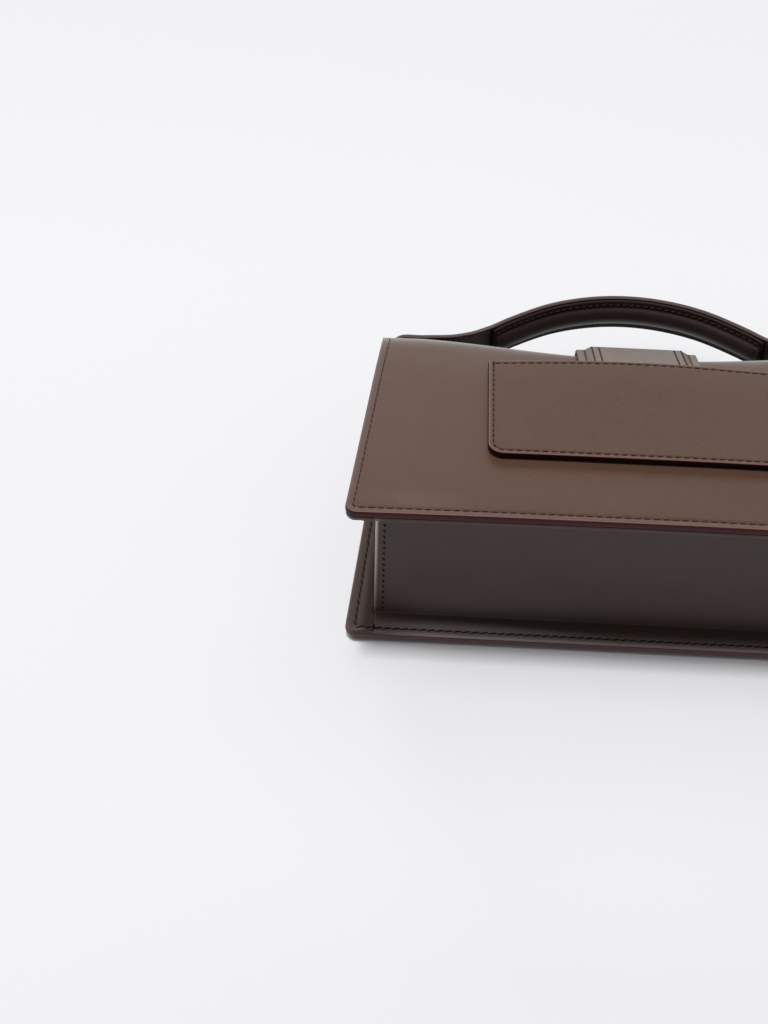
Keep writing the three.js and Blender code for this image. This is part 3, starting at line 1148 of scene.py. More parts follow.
@dataclass
class Panels:
    """The two stiff outer panels, of one outline."""

    form: BagForm
    pitch: float = 3.0
    stitch_inset: float = 3.2
    wave: float = 0.14
    sheen: float = 0.66
    sheen_reach: float = 2.3

    def cut(self) -> FlatCut:
        """Outline of both panels, sewn on all sides but the mouth.

        Returns:
            The cut.
        """
        made = rounded_cut(self.form.half_width, self.form.height, self.form.corner, self.pitch)
        made.sewn = (True, True, False, True)
        return made

    def front_place(self, s: float, t: float, h: float) -> Sequence[float]:
        """Places a point of the front panel, with the leather's slight waviness.

        Args:
            s, t: place in the sheet's flat cut.
            h: height over its underside.

        Returns:
            The point in millimetres, from the bag's base.
        """
        wave = self.wave * noise.noise(Vector((s, t, 0)) / 45.0)
        under = self.form.front_face(s, t) - self.form.front_thickness
        return (s, t, under + h + wave * smooth_step(h, 0, 2))

    def mouth_sheen(self, s: float, t: float) -> float:
        """Painted sheen where the front panel rolls over at the mouth."""
        depth = self.form.height - t
        return self.sheen * math.exp(-depth / self.sheen_reach) * smooth_step(depth, 0.1, 0.6)

    def back_place(self, s: float, t: float, h: float) -> Sequence[float]:
        """Places a point of the back panel, whose upper side faces the floor."""
        return (-s, t, self.form.back_thickness + 0.2 - h)

    def build(self, shop: Workshop) -> list[bpy.types.Object]:
        """Makes both panels and their seams.

        Args:
            shop: the bag's materials.

        Returns:
            The pieces made.
        """
        cut = self.cut()
        groove = Groove(self.stitch_inset)
        front = Sheet(
            "front_panel_leather", cut, EdgeCut(self.form.front_thickness, 0.8, 0.5, groove=groove),
            self.front_place, Slot.PANEL, self.stitch_inset, gleam=self.mouth_sheen,
        ).build(shop.panel)
        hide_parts("front_panel")
        edge = EdgeCut(self.form.back_thickness + 0.2, 0.9, 0.15, 0.05, groove=groove)
        back = Sheet(
            "back_panel_leather", cut, edge, self.back_place, Slot.PANEL, self.stitch_inset,
        ).build(shop.back)
        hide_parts("back_panel")
        inner = inner_sides(cut, self.stitch_inset, "lbr")
        ends = [(s, self.form.height - 0.7) for s, _ in (inner[0], inner[-1])]
        line = densify([ends[0], *inner, ends[1]])
        pieces = [front, back]
        for name, place, thickness in (
            ("front_seam", self.front_place, self.form.front_thickness),
            ("back_seam", self.back_place, self.form.back_thickness + 0.2),
        ):
            path = surface_path(place, line, thickness, -0.14)
            pieces.append(Seam(name, path, Stitching(gap=0.4, radius=0.19, slant=5.0), Slot.PANEL)
                          .sew(shop.panel_thread))
        return pieces


@dataclass
class Gussets:
    """The strips that close the base and the two sides, with flanges turned out."""

    form: BagForm
    bend: float = 1.4
    pitch: float = 3.0
    stitch_inset: float = 2.1
    side_stitch_inset: float = 3.4
    end_seam_inset: float = 3.6
    edge_step: float = 0.15
    pillow: float = 0.55
    sheen_strength: float = 0.24
    ledge_stitching: Stitching = Stitching(3.66, -0.9, 0.34, 0.18, 13.0)
    end_stitching: Stitching = Stitching(3.4, 1.7, 0.42, 0.1, 30.0)
    tack_stitching: Stitching = Stitching(4.0, 0.1, 0.55, 0.1, 4.0)

    def edge(self, stitch_inset: float) -> EdgeCut:
        """Edge of a gusset, painted and sharp underneath, with a seam at a distance inside it."""
        return EdgeCut(self.form.gusset_wall, 0.55, 0.15, 0.05, groove=Groove(stitch_inset, 0.7, 0.18))

    def channel(self, edge: float, web: float, front_edge: float, front_web: float) -> Rail:
        """Section of a gusset: back flange, web and front flange.

        Args:
            edge: place of the flanges' free edges.
            web: place of the web.
            front_edge, front_web: front panel's outside over those two.

        Returns:
            The section's middle line.
        """
        low, drop = self.form.back_flange_z, self.form.front_flange_drop
        corners = [(edge, low), (web, low), (web, front_web - drop), (edge, front_edge - drop)]
        return Rail(bent_line(corners, (0, self.bend, self.bend, 0), 1.2))

    def base_rail(self, x: float) -> Rail:
        """Section of the base gusset at a distance from the bag's middle.

        Args:
            x: distance from the bag's middle.

        Returns:
            The section's middle line.
        """
        web = self.form.base_inset + self.form.gusset_wall / 2
        edge = self.edge_step
        return self.channel(edge, web, self.form.front_face(x, edge), self.form.front_face(x, web))

    def puff(self, t: float, length: float, foot: float) -> float:
        """How far a flange swells between its seam and its bend.

        Args:
            t: distance along the gusset's section.
            length: length of the section.
            foot: distance from the flange's free edge to its bend.

        Returns:
            Height over the flat flange.
        """
        near = min(t, length - t)
        share = clamp((near - self.side_stitch_inset) / (foot - self.side_stitch_inset))
        return self.pillow * math.sin(math.pi * share ** 0.6)

    def ledge_sheen(self, t: float, length: float, reach: float) -> float:
        """How much painted sheen lightens the back flange between its bend and its free edge, and the wall
        above the bend.

        Args:
            t: distance along the gusset's section.
            length: length of the section.
            reach: distance from the free edge over which it fades.

        Returns:
            Share of the painted sheen's paler colour.
        """
        foot = self.form.base_inset
        near = t if t < length / 2 else foot
        flange = 1 - smooth_step(near, 1.8, reach)
        wall = smooth_step(t, foot - 2.0, foot + 1.0) * (1 - smooth_step(t, foot, foot + 26.0))
        return self.sheen_strength * max(flange, 0.30 * wall)

    def side_rail(self, y: float) -> Rail:
        """Section of a side gusset at a height above the base.

        Args:
            y: height above the base.

        Returns:
            The section's middle line.
        """
        pull = 0.0
        radius = self.form.corner
        if y < radius:
            pull = radius - math.sqrt(max(0.0, radius ** 2 - (radius - y) ** 2))
        edge = self.form.half_width(y) - pull - self.edge_step
        web = self.form.side_face(y) - self.form.gusset_wall / 2
        return self.channel(edge, web, self.form.front_face(edge, y), self.form.front_face(web, y))

    def base_place(self) -> Place:
        """Placing function of the base gusset, whose t runs along its section.

        Returns:
            A function whose s runs along the base and t along the section.
        """
        rails = {}
        middle = self.base_rail(0.0).length
        wall = self.form.gusset_wall

        def place(s: float, t: float, h: float) -> Sequence[float]:
            """Places a point of the base gusset.

            Args:
                s, t: place in the sheet's flat cut.
                h: height over its underside.

            Returns:
                The point in millimetres, from the bag's base.
            """
            key = round(s, 1)
            if key not in rails:
                rails[key] = self.base_rail(key)
            rail = rails[key]
            puff = self.puff(t, middle, self.form.base_inset) * h / wall
            y, z = rail.at(t * rail.length / middle, h - wall / 2 + puff)
            return (s, y, z)

        return place

    def side_place(self, hand: int) -> Place:
        """Placing function of a side gusset.

        Args:
            hand: -1 at the left and 1 at the right.

        Returns:
            A function whose s runs up the side and t along the section.
        """
        rails = {}
        middle = self.side_rail(self.form.height / 2).length
        wall = self.form.gusset_wall

        def place(s: float, t: float, h: float) -> Sequence[float]:
            """Places a point of the side gusset.

            Args:
                s, t: place in the sheet's flat cut.
                h: height over its underside.

            Returns:
                The point in millimetres, from the bag's base.
            """
            key = round(max(s, self.edge_step), 2)
            if key not in rails:
                rails[key] = self.side_rail(key)
            rail = rails[key]
            share = t / middle if hand > 0 else 1 - t / middle
            puff = self.puff(t, middle, self.form.base_inset) * h / wall
            x, z = rail.at(share * rail.length, wall / 2 - h - puff)
            return (hand * x, s, z)

        return place

    def build(self, shop: Workshop) -> list[bpy.types.Object]:
        """Makes the three gussets and their seams.

        Args:
            shop: the bag's materials.

        Returns:
            The pieces made.
        """
        pieces = self.build_base(shop)
        for hand, name in ((-1, "left"), (1, "right")):
            pieces += self.build_side(shop, hand, name)
        return pieces

    def build_base(self, shop: Workshop) -> list[bpy.types.Object]:
        """Makes the base gusset, its ledge seams and the seams at its cut ends.

        Args:
            shop: the bag's materials.

        Returns:
            The pieces made.
        """
        half = self.form.side_face(0) + 0.1
        length = self.base_rail(0.0).length
        cut = strip_cut(2 * half, length, round(2 * half / self.pitch), round(length / 0.9))
        cut.sewn = cut.painted = (True, False, True, False)
        place = self.base_place()
        wall = self.form.gusset_wall
        foot = self.form.base_inset

        def crease_shade(s: float, t: float) -> float:
            """Painted shade: a dark line in the two bends."""
            near = min(t, length - t)
            return 0.4 * max(0.0, 1 - max((foot - near) / 1.8, (near - foot) / 0.9))

        def gleam(s: float, t: float) -> float:
            """Painted highlight along the cut ends, strongest by the front panel, and painted sheen on the
            flanges, fading to the right.

            Args:
                s, t: place in the sheet's flat cut.

            Returns:
                Share of the paler colour.
            """
            top = length - foot
            high = smooth_step(t, foot + 3.0, top) * (1 - smooth_step(t, top, top + 0.5))
            end = smooth_step(abs(s), half - 1.05, half - 0.45) * (0.25 + 0.85 * high) * float(t > foot + 1.5)
            inward = smooth_step(half - abs(s), 0.0, 26.0)
            fade = smooth_step(s, -80.0, 0.0)
            reach = lerp(foot - 2.0, 4.2, fade)
            return max(end, self.ledge_sheen(t, length, reach) * lerp(0.3, lerp(1.35, 0.7, fade), inward))

        web = Sheet("base_gusset_leather", cut, self.edge(self.stitch_inset), place, Slot.GUSSET,
                    crease_shade=crease_shade, gleam=gleam)
        piece = web.build(shop.gusset)
        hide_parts("base_gusset")
        pieces = [piece]
        rows = {"back_ledge_seam": self.stitch_inset, "front_ledge_seam": length - self.stitch_inset}
        for name, t in rows.items():
            line = densify([(-half + 0.4, t), (half - 0.4, t)])
            path = surface_path(place, line, wall, -0.1)
            pieces.append(Seam(name, path, self.ledge_stitching, Slot.GUSSET).sew(shop.dark_thread))
        for hand, name in ((-1, "left"), (1, "right")):
            s = hand * (half - self.end_seam_inset)
            line = densify([(s, foot + 2.2), (s, length - foot - 2.2)])
            path = surface_path(place, line, wall, 0.05)
            seam = Seam(f"base_end_seam_{name}", path, self.end_stitching, Slot.GUSSET)
            pieces.append(seam.sew(shop.dark_thread))
            for side, t in (("back", 2.6), ("front", length - 2.6)):
                line = densify([(hand * (half - 0.3), t - 2.0), (hand * (half - 0.3), t + 2.0)], 0.5)
                path = surface_path(place, line, wall, 0.1)
                tack = Seam(f"ledge_tack_{side}_{name}", path, self.tack_stitching, Slot.GUSSET)
                pieces.append(tack.sew(shop.dark_thread))
        return pieces

    def build_side(self, shop: Workshop, hand: int, name: str) -> list[bpy.types.Object]:
        """Makes one side gusset with its ledge seams.

        Args:
            shop: the bag's materials.
            hand: -1 at the left and 1 at the right.
            name: the side's name.

        Returns:
            The pieces made.
        """
        form = self.form
        length = self.side_rail(form.height / 2).length
        low, high = self.edge_step, form.height - form.flange_step
        rows = [low + form.corner * (1 - math.cos(math.pi / 2 * i / 6)) for i in range(6)]
        rows += [lerp(low + form.corner, high, i / 38) for i in range(39)]
        columns = round(length / 1.4)
        cut = FlatCut(
            [(y, 0.0) for y in rows], straight((high, 0), (high, length), columns),
            [(y, length) for y in rows], straight((low, 0), (low, length), columns),
        )
        cut.sewn = cut.painted = (True, False, True, False)
        place = self.side_place(hand)
        wall = form.gusset_wall
        edge = self.edge(self.side_stitch_inset)

        def gleam(s: float, t: float) -> float:
            """Painted sheen on the flanges."""
            return 0.2 * self.ledge_sheen(t, length, form.base_inset - 2.0)

        sheet = Sheet(f"side_gusset_{name}_leather", cut, edge, place, Slot.GUSSET, gleam=gleam)
        piece = sheet.build(shop.gusset)
        self.cut_room(piece)
        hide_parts(f"side_gusset_{name}")
        pieces = [piece]
        corner = 7.2
        inset = self.side_stitch_inset
        for side, t, step in (("a", inset, corner), ("b", length - inset, -corner)):
            line = densify([(high - 0.6, t), (self.stitch_inset, t), (self.stitch_inset, t + step)])
            path = surface_path(place, line, wall, -0.1)
            seam = Seam(f"side_ledge_seam_{name}_{side}", path, self.ledge_stitching, Slot.GUSSET)
            pieces.append(seam.sew(shop.dark_thread))
        return pieces

    def cut_room(self, piece: bpy.types.Object) -> None:
        """Cuts away the stretch of a side gusset that the base gusset's end takes.

        Args:
            piece: the side gusset's mesh object.
        """
        form = self.form
        half = form.side_face(0) + form.gap / 2
        reach = form.base_inset + form.gusset_wall + form.gap
        cutter_mesh = bpy.data.meshes.new("room")
        corners = [to_metres((x, y, z)) for x in (-half, half) for y in (-reach, reach) for z in (-20, 120)]
        sides = [(0, 1, 3, 2), (4, 6, 7, 5), (0, 4, 5, 1), (2, 3, 7, 6), (0, 2, 6, 4), (1, 5, 7, 3)]
        cutter_mesh.from_pydata([tuple(c) for c in corners], [], sides)
        cutter = bpy.data.objects.new("room", cutter_mesh)
        face_out(cutter)
        bpy.context.scene.collection.objects.link(cutter)
        cut = piece.modifiers.new("room", "BOOLEAN")
        cut.operation = "DIFFERENCE"
        cut.solver = "EXACT"
        cut.object = cutter
        bpy.context.view_layer.update()
        graph = bpy.context.evaluated_depsgraph_get()
        mesh = bpy.data.meshes.new_from_object(piece.evaluated_get(graph))
        piece.modifiers.clear()
        piece.data = mesh
        bpy.data.objects.remove(cutter)


@dataclass
class Flap:
    """The stitched plate on the front, and the padded strap that hinges it."""

    form: BagForm
    width: float = 130.0
    height: float = 63.5
    from_base: float = 36.2
    thickness: float = 2.8
    corner: float = 6.5
    clearance: float = 0.6
    lift: float = 1.6
    bow: float = 1.5
    pitch: float = 2.6
    stitch_inset: float = 2.2
    hinge_width: float = 52.4
    hinge_thickness: float = 1.4
    hinge_pad: float = 1.6
    hinge_overlap: float = 5.0
    hinge_clearance: float = 0.6
    hinge_reach: float = 2.0
    hinge_bend: float = 3.5
    hinge_slope_bend: float = 12.0
    hinge_tail: float = 26.0
    ribs: tuple[float, ...] = (16.4, 19.5, 22.7)

    def rise(self, x: float) -> float:
        """How far the plate's top edge rises at a distance from the middle."""
        return self.bow * half_wave(x, self.width)

    def underside(self, x: float, y: float) -> float:
        """Underside of the plate over the front panel.

        Args:
            x: distance from the bag's middle.
            y: height above the base.

        Returns:
            Height over the floor.
        """
        share = clamp((y - self.from_base) / self.height)
        ramp = self.form.ramp(x, y) - self.form.mouth_roll * self.form.roll_share(y)
        return ramp + self.clearance + self.lift * half_wave(x, self.width) * share * share

    def plate_place(self, s: float, t: float, h: float) -> Sequence[float]:
        """Places a point of the flap plate, with the leather's slight waviness.

        Args:
            s, t: place in the sheet's flat cut.
            h: height over its underside.

        Returns:
            The point in millimetres, from the bag's base.
        """
        y = self.from_base + t
        wave = 0.10 * noise.noise(Vector((s, t, 7.0)) / 38.0)
        return (s, y, self.underside(s, y) + h + wave * smooth_step(h, 0, 2))

    def hinge_rail(self, x: float) -> Rail:
        """The hinge strap's underside in the y, z plane, at a distance from the middle.

        Args:
            x: distance from the bag's middle.

        Returns:
            The strap's line.
        """
        form = self.form
        below = form.gap + self.hinge_thickness
        flap_edge = self.from_base + self.height + self.rise(x)
        start_y = flap_edge - self.hinge_overlap
        behind = form.height + self.hinge_reach
        mouth_z = form.front_face(self.hinge_width / 2, form.height) + self.hinge_clearance
        floor = form.back_thickness + below
        corners = [
            (start_y, self.underside(x, start_y) - below),
            (flap_edge, self.underside(x, flap_edge) - below),
            (behind, mouth_z),
            (behind, floor),
            (form.height - self.hinge_tail, floor),
        ]
        radii = (0, self.hinge_slope_bend, self.hinge_bend, self.hinge_bend, 0)
        return Rail(bent_line(corners, radii, 1.2))

    def pad(self, x: float) -> float:
        """Extra height of the strap's padding and ribs at a distance from the middle.

        Args:
            x: distance from the bag's middle.

        Returns:
            Height added to the strap's own thickness.
        """
        middle, outer = self.ribs[1:]
        out = abs(x)
        height = self.hinge_pad * (1 - clamp((out - middle) / (outer - middle)))
        for rib in self.ribs:
            height -= 0.30 * math.exp(-((out - rib) / 0.35) ** 2)
        return height

    def hinge_place(self) -> Place:
        """Placing function of the hinge strap, whose t runs along it.

        Returns:
            A function whose s runs across the strap and t along it.
        """
        rails = {}
        middle = self.hinge_rail(0.0).length
        start, end = self.hinge_overlap - 0.5, middle - self.hinge_tail

        def place(s: float, t: float, h: float) -> Sequence[float]:
            """Places a point of the hinge strap.

            Args:
                s, t: place in the sheet's flat cut.
                h: height over its underside.

            Returns:
                The point in millimetres, from the bag's base.
            """
            key = round(s, 1)
            if key not in rails:
                rails[key] = self.hinge_rail(key)
            rail = rails[key]
            padded = smooth_step(t, start, start + 2.5) * (1 - smooth_step(t, end - 26, end - 16))
            height = h + self.pad(s) * padded * h / self.hinge_thickness
            y, z = rail.at(t * rail.length / middle, height)
            return (s, y, z)

        return place

    def build(self, shop: Workshop) -> list[bpy.types.Object]:
        """Makes the plate, the hinge strap and their seams.

        Args:
            shop: the bag's materials.

        Returns:
            The pieces made.
        """
        cut = rounded_cut(lambda y: self.width / 2, self.height, self.corner, self.pitch, self.rise)
        edge = EdgeCut(self.thickness, 0.7, 0.5, groove=Groove(self.stitch_inset, 0.7, 0.24))
        plate = Sheet("flap_plate_leather", cut, edge, self.plate_place, Slot.PANEL, self.stitch_inset)
        piece = plate.build(shop.flap)
        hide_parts("flap_plate")
        line = densify(inner_sides(cut, self.stitch_inset, "lbrt"))
        path = surface_path(self.plate_place, line, self.thickness, -0.16)
        seam = Seam("flap_seam", path, Stitching(3.5, 0.8, 0.25, slant=4.0), Slot.PANEL)
        return [piece, seam.sew(shop.panel_thread), *self.build_tacks(shop), *self.build_hinge(shop)]

    def build_tacks(self, shop: Workshop) -> list[bpy.types.Object]:
        """Makes the short bar tacks that lock the seam at the plate's upper corners.

        Args:
            shop: the bag's materials.

        Returns:
            The pieces made.
        """
        tacks = []
        for hand, name in ((-1, "left"), (1, "right")):
            s = hand * (self.width / 2 - self.stitch_inset)
            t = self.height - self.stitch_inset
            line = densify([(s, t - 1.8), (s, t + 2.0)], 0.5)
            path = surface_path(self.plate_place, line, self.thickness, 0.02)
            tack = Seam(f"flap_tack_{name}", path, Stitching(3.8, 0.2, 0.36, slant=0.0), Slot.PANEL)
            tacks.append(tack.sew(shop.panel_thread))
        return tacks

    def build_hinge(self, shop: Workshop) -> list[bpy.types.Object]:
        """Makes the hinge strap with its ribs and rib seams.

        Args:
            shop: the bag's materials.

        Returns:
            The pieces made.
        """
        length = self.hinge_rail(0.0).length
        half = self.hinge_width / 2
        cut = strip_cut(self.hinge_width, length, 150, round(length / 1.3))
        cut.sewn = (False, False, False, False)
        place = self.hinge_place()
        edge = EdgeCut(self.hinge_thickness, 0.55, 0.4)

        def crease_shade(s: float, t: float) -> float:
            """Painted shade: a dark line in each sewn rib."""
            return max(math.exp(-((abs(s) - rib) / 0.32) ** 2) for rib in self.ribs)

        piece = Sheet("flap_hinge_leather", cut, edge, place, Slot.PANEL, crease_shade=crease_shade).build(shop.strap)
        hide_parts("flap_hinge")
        pieces = [piece]
        for hand, side in ((-1, "left"), (1, "right")):
            for number, rib in enumerate(self.ribs, 1):
                line = densify([(hand * rib, 1.0), (hand * rib, length - 3.0)])
                path = surface_path(place, line, self.hinge_thickness, 0.06)
                seam = Seam(f"hinge_seam_{side}_{number}", path, Stitching(3.0, 0.7, 0.24), Slot.PANEL)
                pieces.append(seam.sew(shop.panel_thread))
        return pieces


def through_points(points: Sequence[Pair], count: int) -> list[Pair]:
    """Smooth line through points, evenly parted between them.

    Args:
        points: the points that it passes through.
        count: number of stretches.

    Returns:
        Points on the line.
    """
    line = []
    last = len(points) - 1
    for k in range(count + 1):
        place = last * k / count
        i = min(int(place), last - 1)
        w = place - i
        row = []
        for axis in (0, 1):
            a = points[i - 1 if i > 0 else i][axis]
            b, c = points[i][axis], points[i + 1][axis]
            d = points[i + 2 if i + 2 <= last else last][axis]
            v0, v1 = (c - a) / 2, (d - b) / 2
            cubic, square = 2 * b - 2 * c + v0 + v1, -3 * b + 3 * c - 2 * v0 - v1
            row.append(cubic * w ** 3 + square * w ** 2 + v0 * w + b)
        line.append((row[0], row[1]))
    return line


@dataclass
class Handle:
    """The top handle: a strap sewn outside the side gussets, with a padded roll under its grip."""

    form: BagForm
    rise: float = 58.2
    hump_rise: float = 10.6
    hump_radius: float = 7.0
    tab: float = 34.0
    thickness: float = 2.6
    grip: float = 17.0
    root_clearance: float = 2.0
    roll_span: float = 127.6
    roll_depth: float = 4.8
    roll_width: float = 9.2
    roll_welt: float = 1.3
    roll_cap: float = 6.5
    crown: float = 0.35
    spread_start: float = 0.55
    spread_end: float = 0.86
    stitch_inset: float = 1.6
    roll_stitch_inset: float = 2.5
    arch: tuple[Pair, ...] = (
        (0.00, 1.000), (0.17, 0.959), (0.34, 0.835), (0.51, 0.612),
        (0.60, 0.450), (0.68, 0.261), (0.76, 0.096), (0.84, 0.009),
    )

    def tab_face(self, y: float) -> float:
        """Outside of the strap where it lies on a side gusset."""
        return self.form.side_face(y) + self.form.gap + self.thickness

    @property
    def root(self) -> Pair:
        """Lowest and highest z of the strap's wide roots."""
        wall = self.form.gusset_wall / 2 + self.root_clearance
        return (self.form.back_flange_z + wall, self.form.depth_mouth - self.form.front_flange_drop - wall)

    @property
    def middle(self) -> float:
        """Height of the handle's middle over the floor."""
        return sum(self.root) / 2 + 0.4

    def rail(self) -> Rail:
        """Outer line of the handle in the x, y plane, from the left tab to the right tab.

        Returns:
            The line.
        """
        half = self.tab_face(self.form.height)
        hump = self.form.height + self.hump_rise
        arch = [(-out * half, hump + up * (self.rise - self.hump_rise)) for out, up in self.arch]
        left = [(self.hump_radius - half, hump), *reversed(arch)]
        right = [(-x, y) for x, y in reversed(left[:-1])]
        crown = through_points(left + right, 176)
        bend = []
        for k in range(10):
            angle = math.pi - math.pi / 2 * k / 10
            bend.append((self.hump_radius - half + self.hump_radius * math.cos(angle),
                         hump - self.hump_radius + self.hump_radius * math.sin(angle)))
        low = self.form.height - self.tab
        tab = [(-self.tab_face(y), y) for y in (lerp(low, self.form.height, k / 12) for k in range(13))]
        start = tab + bend
        end = [(-x, y) for x, y in reversed(start)]
        points = [Vector(p) for p in start + crown + end]
        line = []
        for i, point in enumerate(points):
            along = (points[min(i + 1, len(points) - 1)] - points[max(i - 1, 0)]).normalized()
            line.append(Bend((point.x, point.y), (-along.y, along.x)))
        return Rail(line)

    def strap_half(self, x: float) -> float:
        """Half the strap's width at a distance from the bag's middle.

        Args:
            x: distance from the bag's middle.

        Returns:
            Half the width.
        """
        half = self.tab_face(self.form.height)
        spread = smooth_step(abs(x), self.spread_start * half, self.spread_end * half)
        return lerp(self.grip, self.root[1] - self.root[0], spread) / 2

    def build(self, shop: Workshop) -> list[bpy.types.Object]:
        """Makes the strap, the roll and the seams.

        Args:
            shop: the bag's materials.

        Returns:
            The pieces made.
        """
        rail = self.rail()
        strap, strap_place = self.build_strap(shop, rail)
        roll, roll_place, reach = self.build_roll(shop, rail)
        pieces = [strap, roll]
        middle = rail.length / 2
        for hand, name in ((-1, "low"), (1, "high")):
            outer, inner_left, inner_right, on_roll = [], [], [], []
            for k in range(round(rail.length / 2) + 1):
                t = clamp(2.0 * k, 1.5, rail.length - 1.5)
                w = hand * (self.strap_half(rail.at(t)[0]) - self.stitch_inset)
                outer.append((t, w))
                if abs(t - middle) < reach:
                    on_roll.append((t, hand * (self.grip / 2 - self.roll_stitch_inset)))
                elif t < middle:
                    inner_left.append((t, w))
                else:
                    inner_right.append((t, w))
            rows = (
                (f"strap_seam_outer_{name}", outer, strap_place, self.thickness, True),
                (f"strap_seam_left_{name}", inner_left, strap_place, 0.0, False),
                (f"strap_seam_right_{name}", inner_right, strap_place, 0.0, False),
                (f"roll_seam_{name}", on_roll, roll_place, 0.0, False),
            )
            for seam_name, line, place, height, under in rows:
                path = surface_path(place, densify(line), height)
                if under:
                    path = [(point, -normal) for point, normal in path]
                pieces.append(Seam(seam_name, path, Stitching(3.2, 0.8, 0.27, 0.14), Slot.HANDLE)
                              .sew(shop.handle_thread))
        return pieces

    def build_strap(self, shop: Workshop, rail: Rail) -> tuple[bpy.types.Object, Place]:
        """Makes the strap and returns it with its placing function.

        Args:
            shop: the bag's materials.
            rail: the handle's outer line.

        Returns:
            The strap and its placing function.
        """
        columns = round(rail.length / 1.6)
        stops = [rail.length * k / columns for k in range(columns + 1)]
        rows = 14
        low = [(t, -self.strap_half(rail.at(t)[0])) for t in stops]
        high = [(t, -w) for t, w in low]
        cut = FlatCut(low, straight(low[-1], high[-1], rows), high, straight(low[0], high[0], rows))
        cut.sewn = (True, False, True, False)

        def place(s: float, t: float, h: float) -> Sequence[float]:
            """Places a point of the strap: s along it, t across it and h from its inside.

            Args:
                s, t: place in the sheet's flat cut.
                h: height over its underside.

            Returns:
                The point in millimetres, from the bag's base.
            """
            crown = self.crown * max(0.0, 1 - (t / (self.strap_half(rail.at(s)[0]) + 0.5)) ** 2)
            sink = self.crown * h / self.thickness
            x, y = rail.at(s, h - self.thickness + crown * h / self.thickness - sink)
            return (x, y, self.middle + t)

        edge = EdgeCut(self.thickness, 0.7, 0.4, 0.10, groove=Groove(self.stitch_inset, 0.6, 0.15))
        piece = Sheet("handle_strap_leather", cut, edge, place, Slot.HANDLE).build(shop.handle)
        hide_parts("handle_strap")
        return piece, place

    def roll_height(self, across: float, end: float) -> float:
        """Height of the padded roll.

        Args:
            across: distance from the grip's middle line.
            end: distance from the roll's nearest end.

        Returns:
            Height over the strap's inside.
        """
        share = clamp(abs(2 * across / self.roll_width))
        swell = math.sqrt(1 - share * share)
        cap = math.sqrt(clamp(1 - (1 - clamp(end / self.roll_cap)) ** 2))
        return self.roll_welt + (self.roll_depth - self.roll_welt) * swell * (0.12 + 0.88 * cap)

    def build_roll(self, shop: Workshop, rail: Rail) -> tuple[bpy.types.Object, Place, float]:
        """Makes the padded roll and returns it with a placing function and half its length.

        Args:
            shop: the bag's materials.
            rail: the handle's outer line.

        Returns:
            The roll, the placing function of its seams, and half its length.
        """
        start = rail.distance_of(0, -self.roll_span / 2)
        reach = rail.length / 2 - start
        half = self.grip / 2 - self.form.flange_step
        columns = round(2 * reach / 1.2)
        cut = FlatCut(
            straight((start, -half), (start + 2 * reach, -half), columns),
            straight((start + 2 * reach, -half), (start + 2 * reach, half), 34),
            straight((start, half), (start + 2 * reach, half), columns),
            straight((start, -half), (start, half), 34),
        )
        cut.sewn = (False, False, False, False)
        deep = self.roll_welt

        def place(s: float, t: float, h: float) -> Sequence[float]:
            """Places a point of the roll: h is 0 on its swelling inside.

            Args:
                s, t: place in the sheet's flat cut.
                h: height over its underside.

            Returns:
                The point in millimetres, from the bag's base.
            """
            end = min(s - start, start + 2 * reach - s)
            height = self.roll_height(t, end)
            offset = -self.thickness - self.form.gap - height * (1 - h / deep)
            x, y = rail.at(s, offset)
            return (x, y, self.middle + t)

        def seam_place(s: float, t: float, h: float) -> Sequence[float]:
            """Places a seam on the roll's flange, facing the bag."""
            x, y = rail.at(s, -self.thickness - self.form.gap - self.roll_welt - 0.06)
            return (x, y, self.middle + t)

        edge = EdgeCut(deep, 0.4, 0.5, 0.1)

        def gleam(s: float, t: float) -> float:
            """Painted reflection on the lower flank of the roll, fading towards its ends.

            Args:
                s, t: place in the sheet's flat cut.

            Returns:
                Share of the paler colour.
            """
            low = smooth_step(-t, -1.0, 3.4) * (1 - smooth_step(-t, 4.1, 4.6))
            end = min(s - start, start + 2 * reach - s)
            return 0.40 * low * (0.45 + 0.55 * smooth_step(end, 0, 30))

        piece = Sheet("handle_roll_leather", cut, edge, place, Slot.HANDLE, gleam=gleam).build(shop.roll)
        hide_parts("handle_roll")
        return piece, seam_place, reach


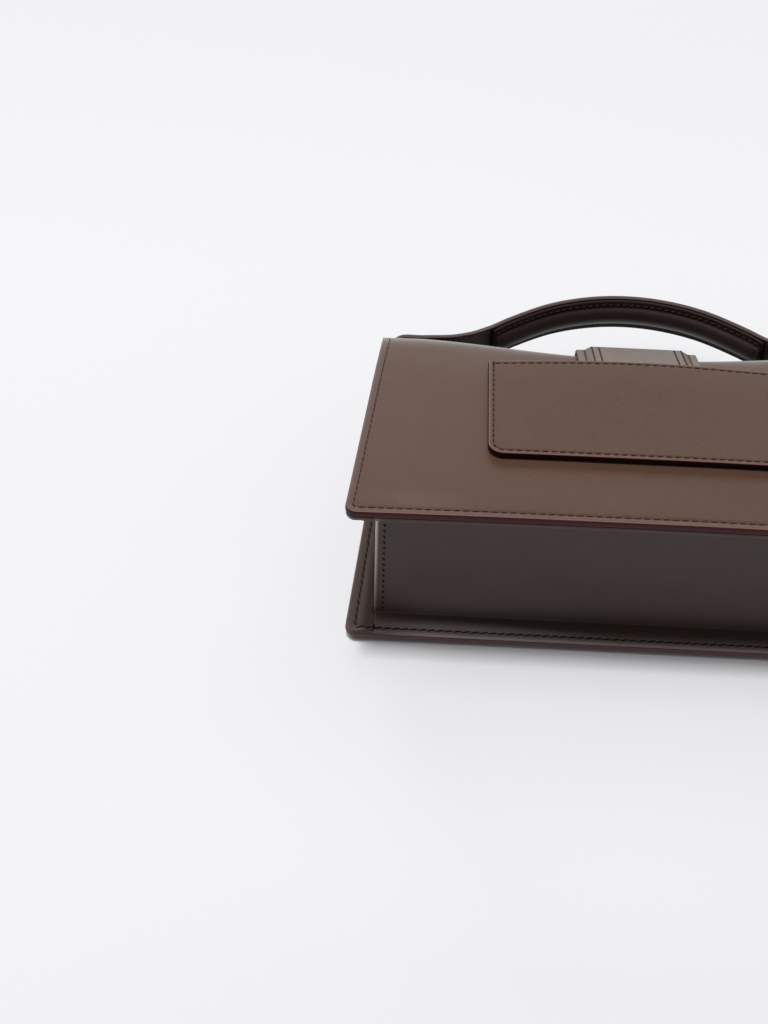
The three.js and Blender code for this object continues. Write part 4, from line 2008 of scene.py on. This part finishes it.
@dataclass(frozen=True)
class Studio:
    """Floor, lights and camera."""

    focal_px: float = 1800.0
    frame_px: float = 1024.0
    sensor: float = 36.0
    yaw: float = -1.92
    pitch: float = 48.395
    roll: float = 1.359
    camera_x: float = -89.16
    camera_y: float = -457.71
    camera_z: float = 595.26
    floor_size: float = 16.0
    floor_drop: float = 2.2

    def camera(self) -> None:
        """Makes the camera at the photograph's view of the bag."""
        yaw, pitch, roll = (math.radians(a) for a in (self.yaw, self.pitch, self.roll))
        level = Vector((math.sin(yaw), math.cos(yaw), 0))
        side = Vector((math.cos(yaw), -math.sin(yaw), 0))
        high = Vector((0, 0, 1))
        ahead = level * math.cos(pitch) - high * math.sin(pitch)
        above = level * math.sin(pitch) + high * math.cos(pitch)
        right = side * math.cos(roll) + above * math.sin(roll)
        up = above * math.cos(roll) - side * math.sin(roll)
        lens = bpy.data.cameras.new("camera")
        lens.sensor_width = self.sensor
        lens.lens = self.focal_px / self.frame_px * self.sensor
        lens.clip_end = 50
        eye = bpy.data.objects.new("camera", lens)
        turn = Matrix((right, up, -ahead)).transposed().to_4x4()
        place = to_metres((self.camera_x, self.camera_y, self.camera_z))
        eye.matrix_world = Matrix.Translation(place) @ turn
        bpy.context.scene.collection.objects.link(eye)
        bpy.context.scene.camera = eye

    def lamp(self, name: str, place: Sequence[float], size: Pair, power: float) -> None:
        """Adds a soft light that points at the bag.

        Args:
            name: the light's name.
            place: where it is, in metres.
            size: its width and height in metres.
            power: its power in watts.
        """
        light = bpy.data.lights.new(name, "AREA")
        light.shape = "RECTANGLE"
        light.size, light.size_y = size
        light.energy = power
        holder = bpy.data.objects.new(name, light)
        holder.location = place
        holder.rotation_mode = "QUATERNION"
        holder.rotation_quaternion = (-Vector(place)).to_track_quat("-Z", "Y")
        bpy.context.scene.collection.objects.link(holder)

    def build(self) -> None:
        """Makes the floor, the lights, the surroundings and the camera."""
        half = self.floor_size / 2
        low = -self.floor_drop * MM
        corners = [(-half, -half, low), (half, -half, low), (half, half, low), (-half, half, low)]
        paper = FloorFinish("pale_paper", linear(236, 236, 238)).material()
        add_piece("floor", corners, [(0, 1, 2, 3)], paper, None)
        self.lamp("key", (-0.85, 0.42, 8.0), (1.0, 0.35), 330)
        self.lamp("soft_box", (-2.8, 0.1, 8.0), (5.0, 5.0), 236)
        self.lamp("back_window", (0.0, 3.0, 1.1), (3.0, 1.2), 36)
        world = bpy.data.worlds.new("surroundings")
        world.use_nodes = True
        sky = world.node_tree.nodes["Background"]
        sky.inputs["Color"].default_value = linear(250, 251, 255)
        sky.inputs["Strength"].default_value = 0.20
        bpy.context.scene.world = world
        bpy.context.scene.view_settings.view_transform = "Standard"
        self.camera()


def main() -> None:
    """Builds the bag and its studio, and reports each piece."""
    logging.basicConfig(level=logging.INFO, format="%(message)s")
    form = BagForm()
    shop = Workshop()
    for part in (Panels(form), Gussets(form), Flap(form), Handle(form)):
        for piece in part.build(shop):
            LOG.info("%s: %d faces", piece.name, len(piece.data.polygons))
    Studio().build()


if __name__ == "__main__":
    main()
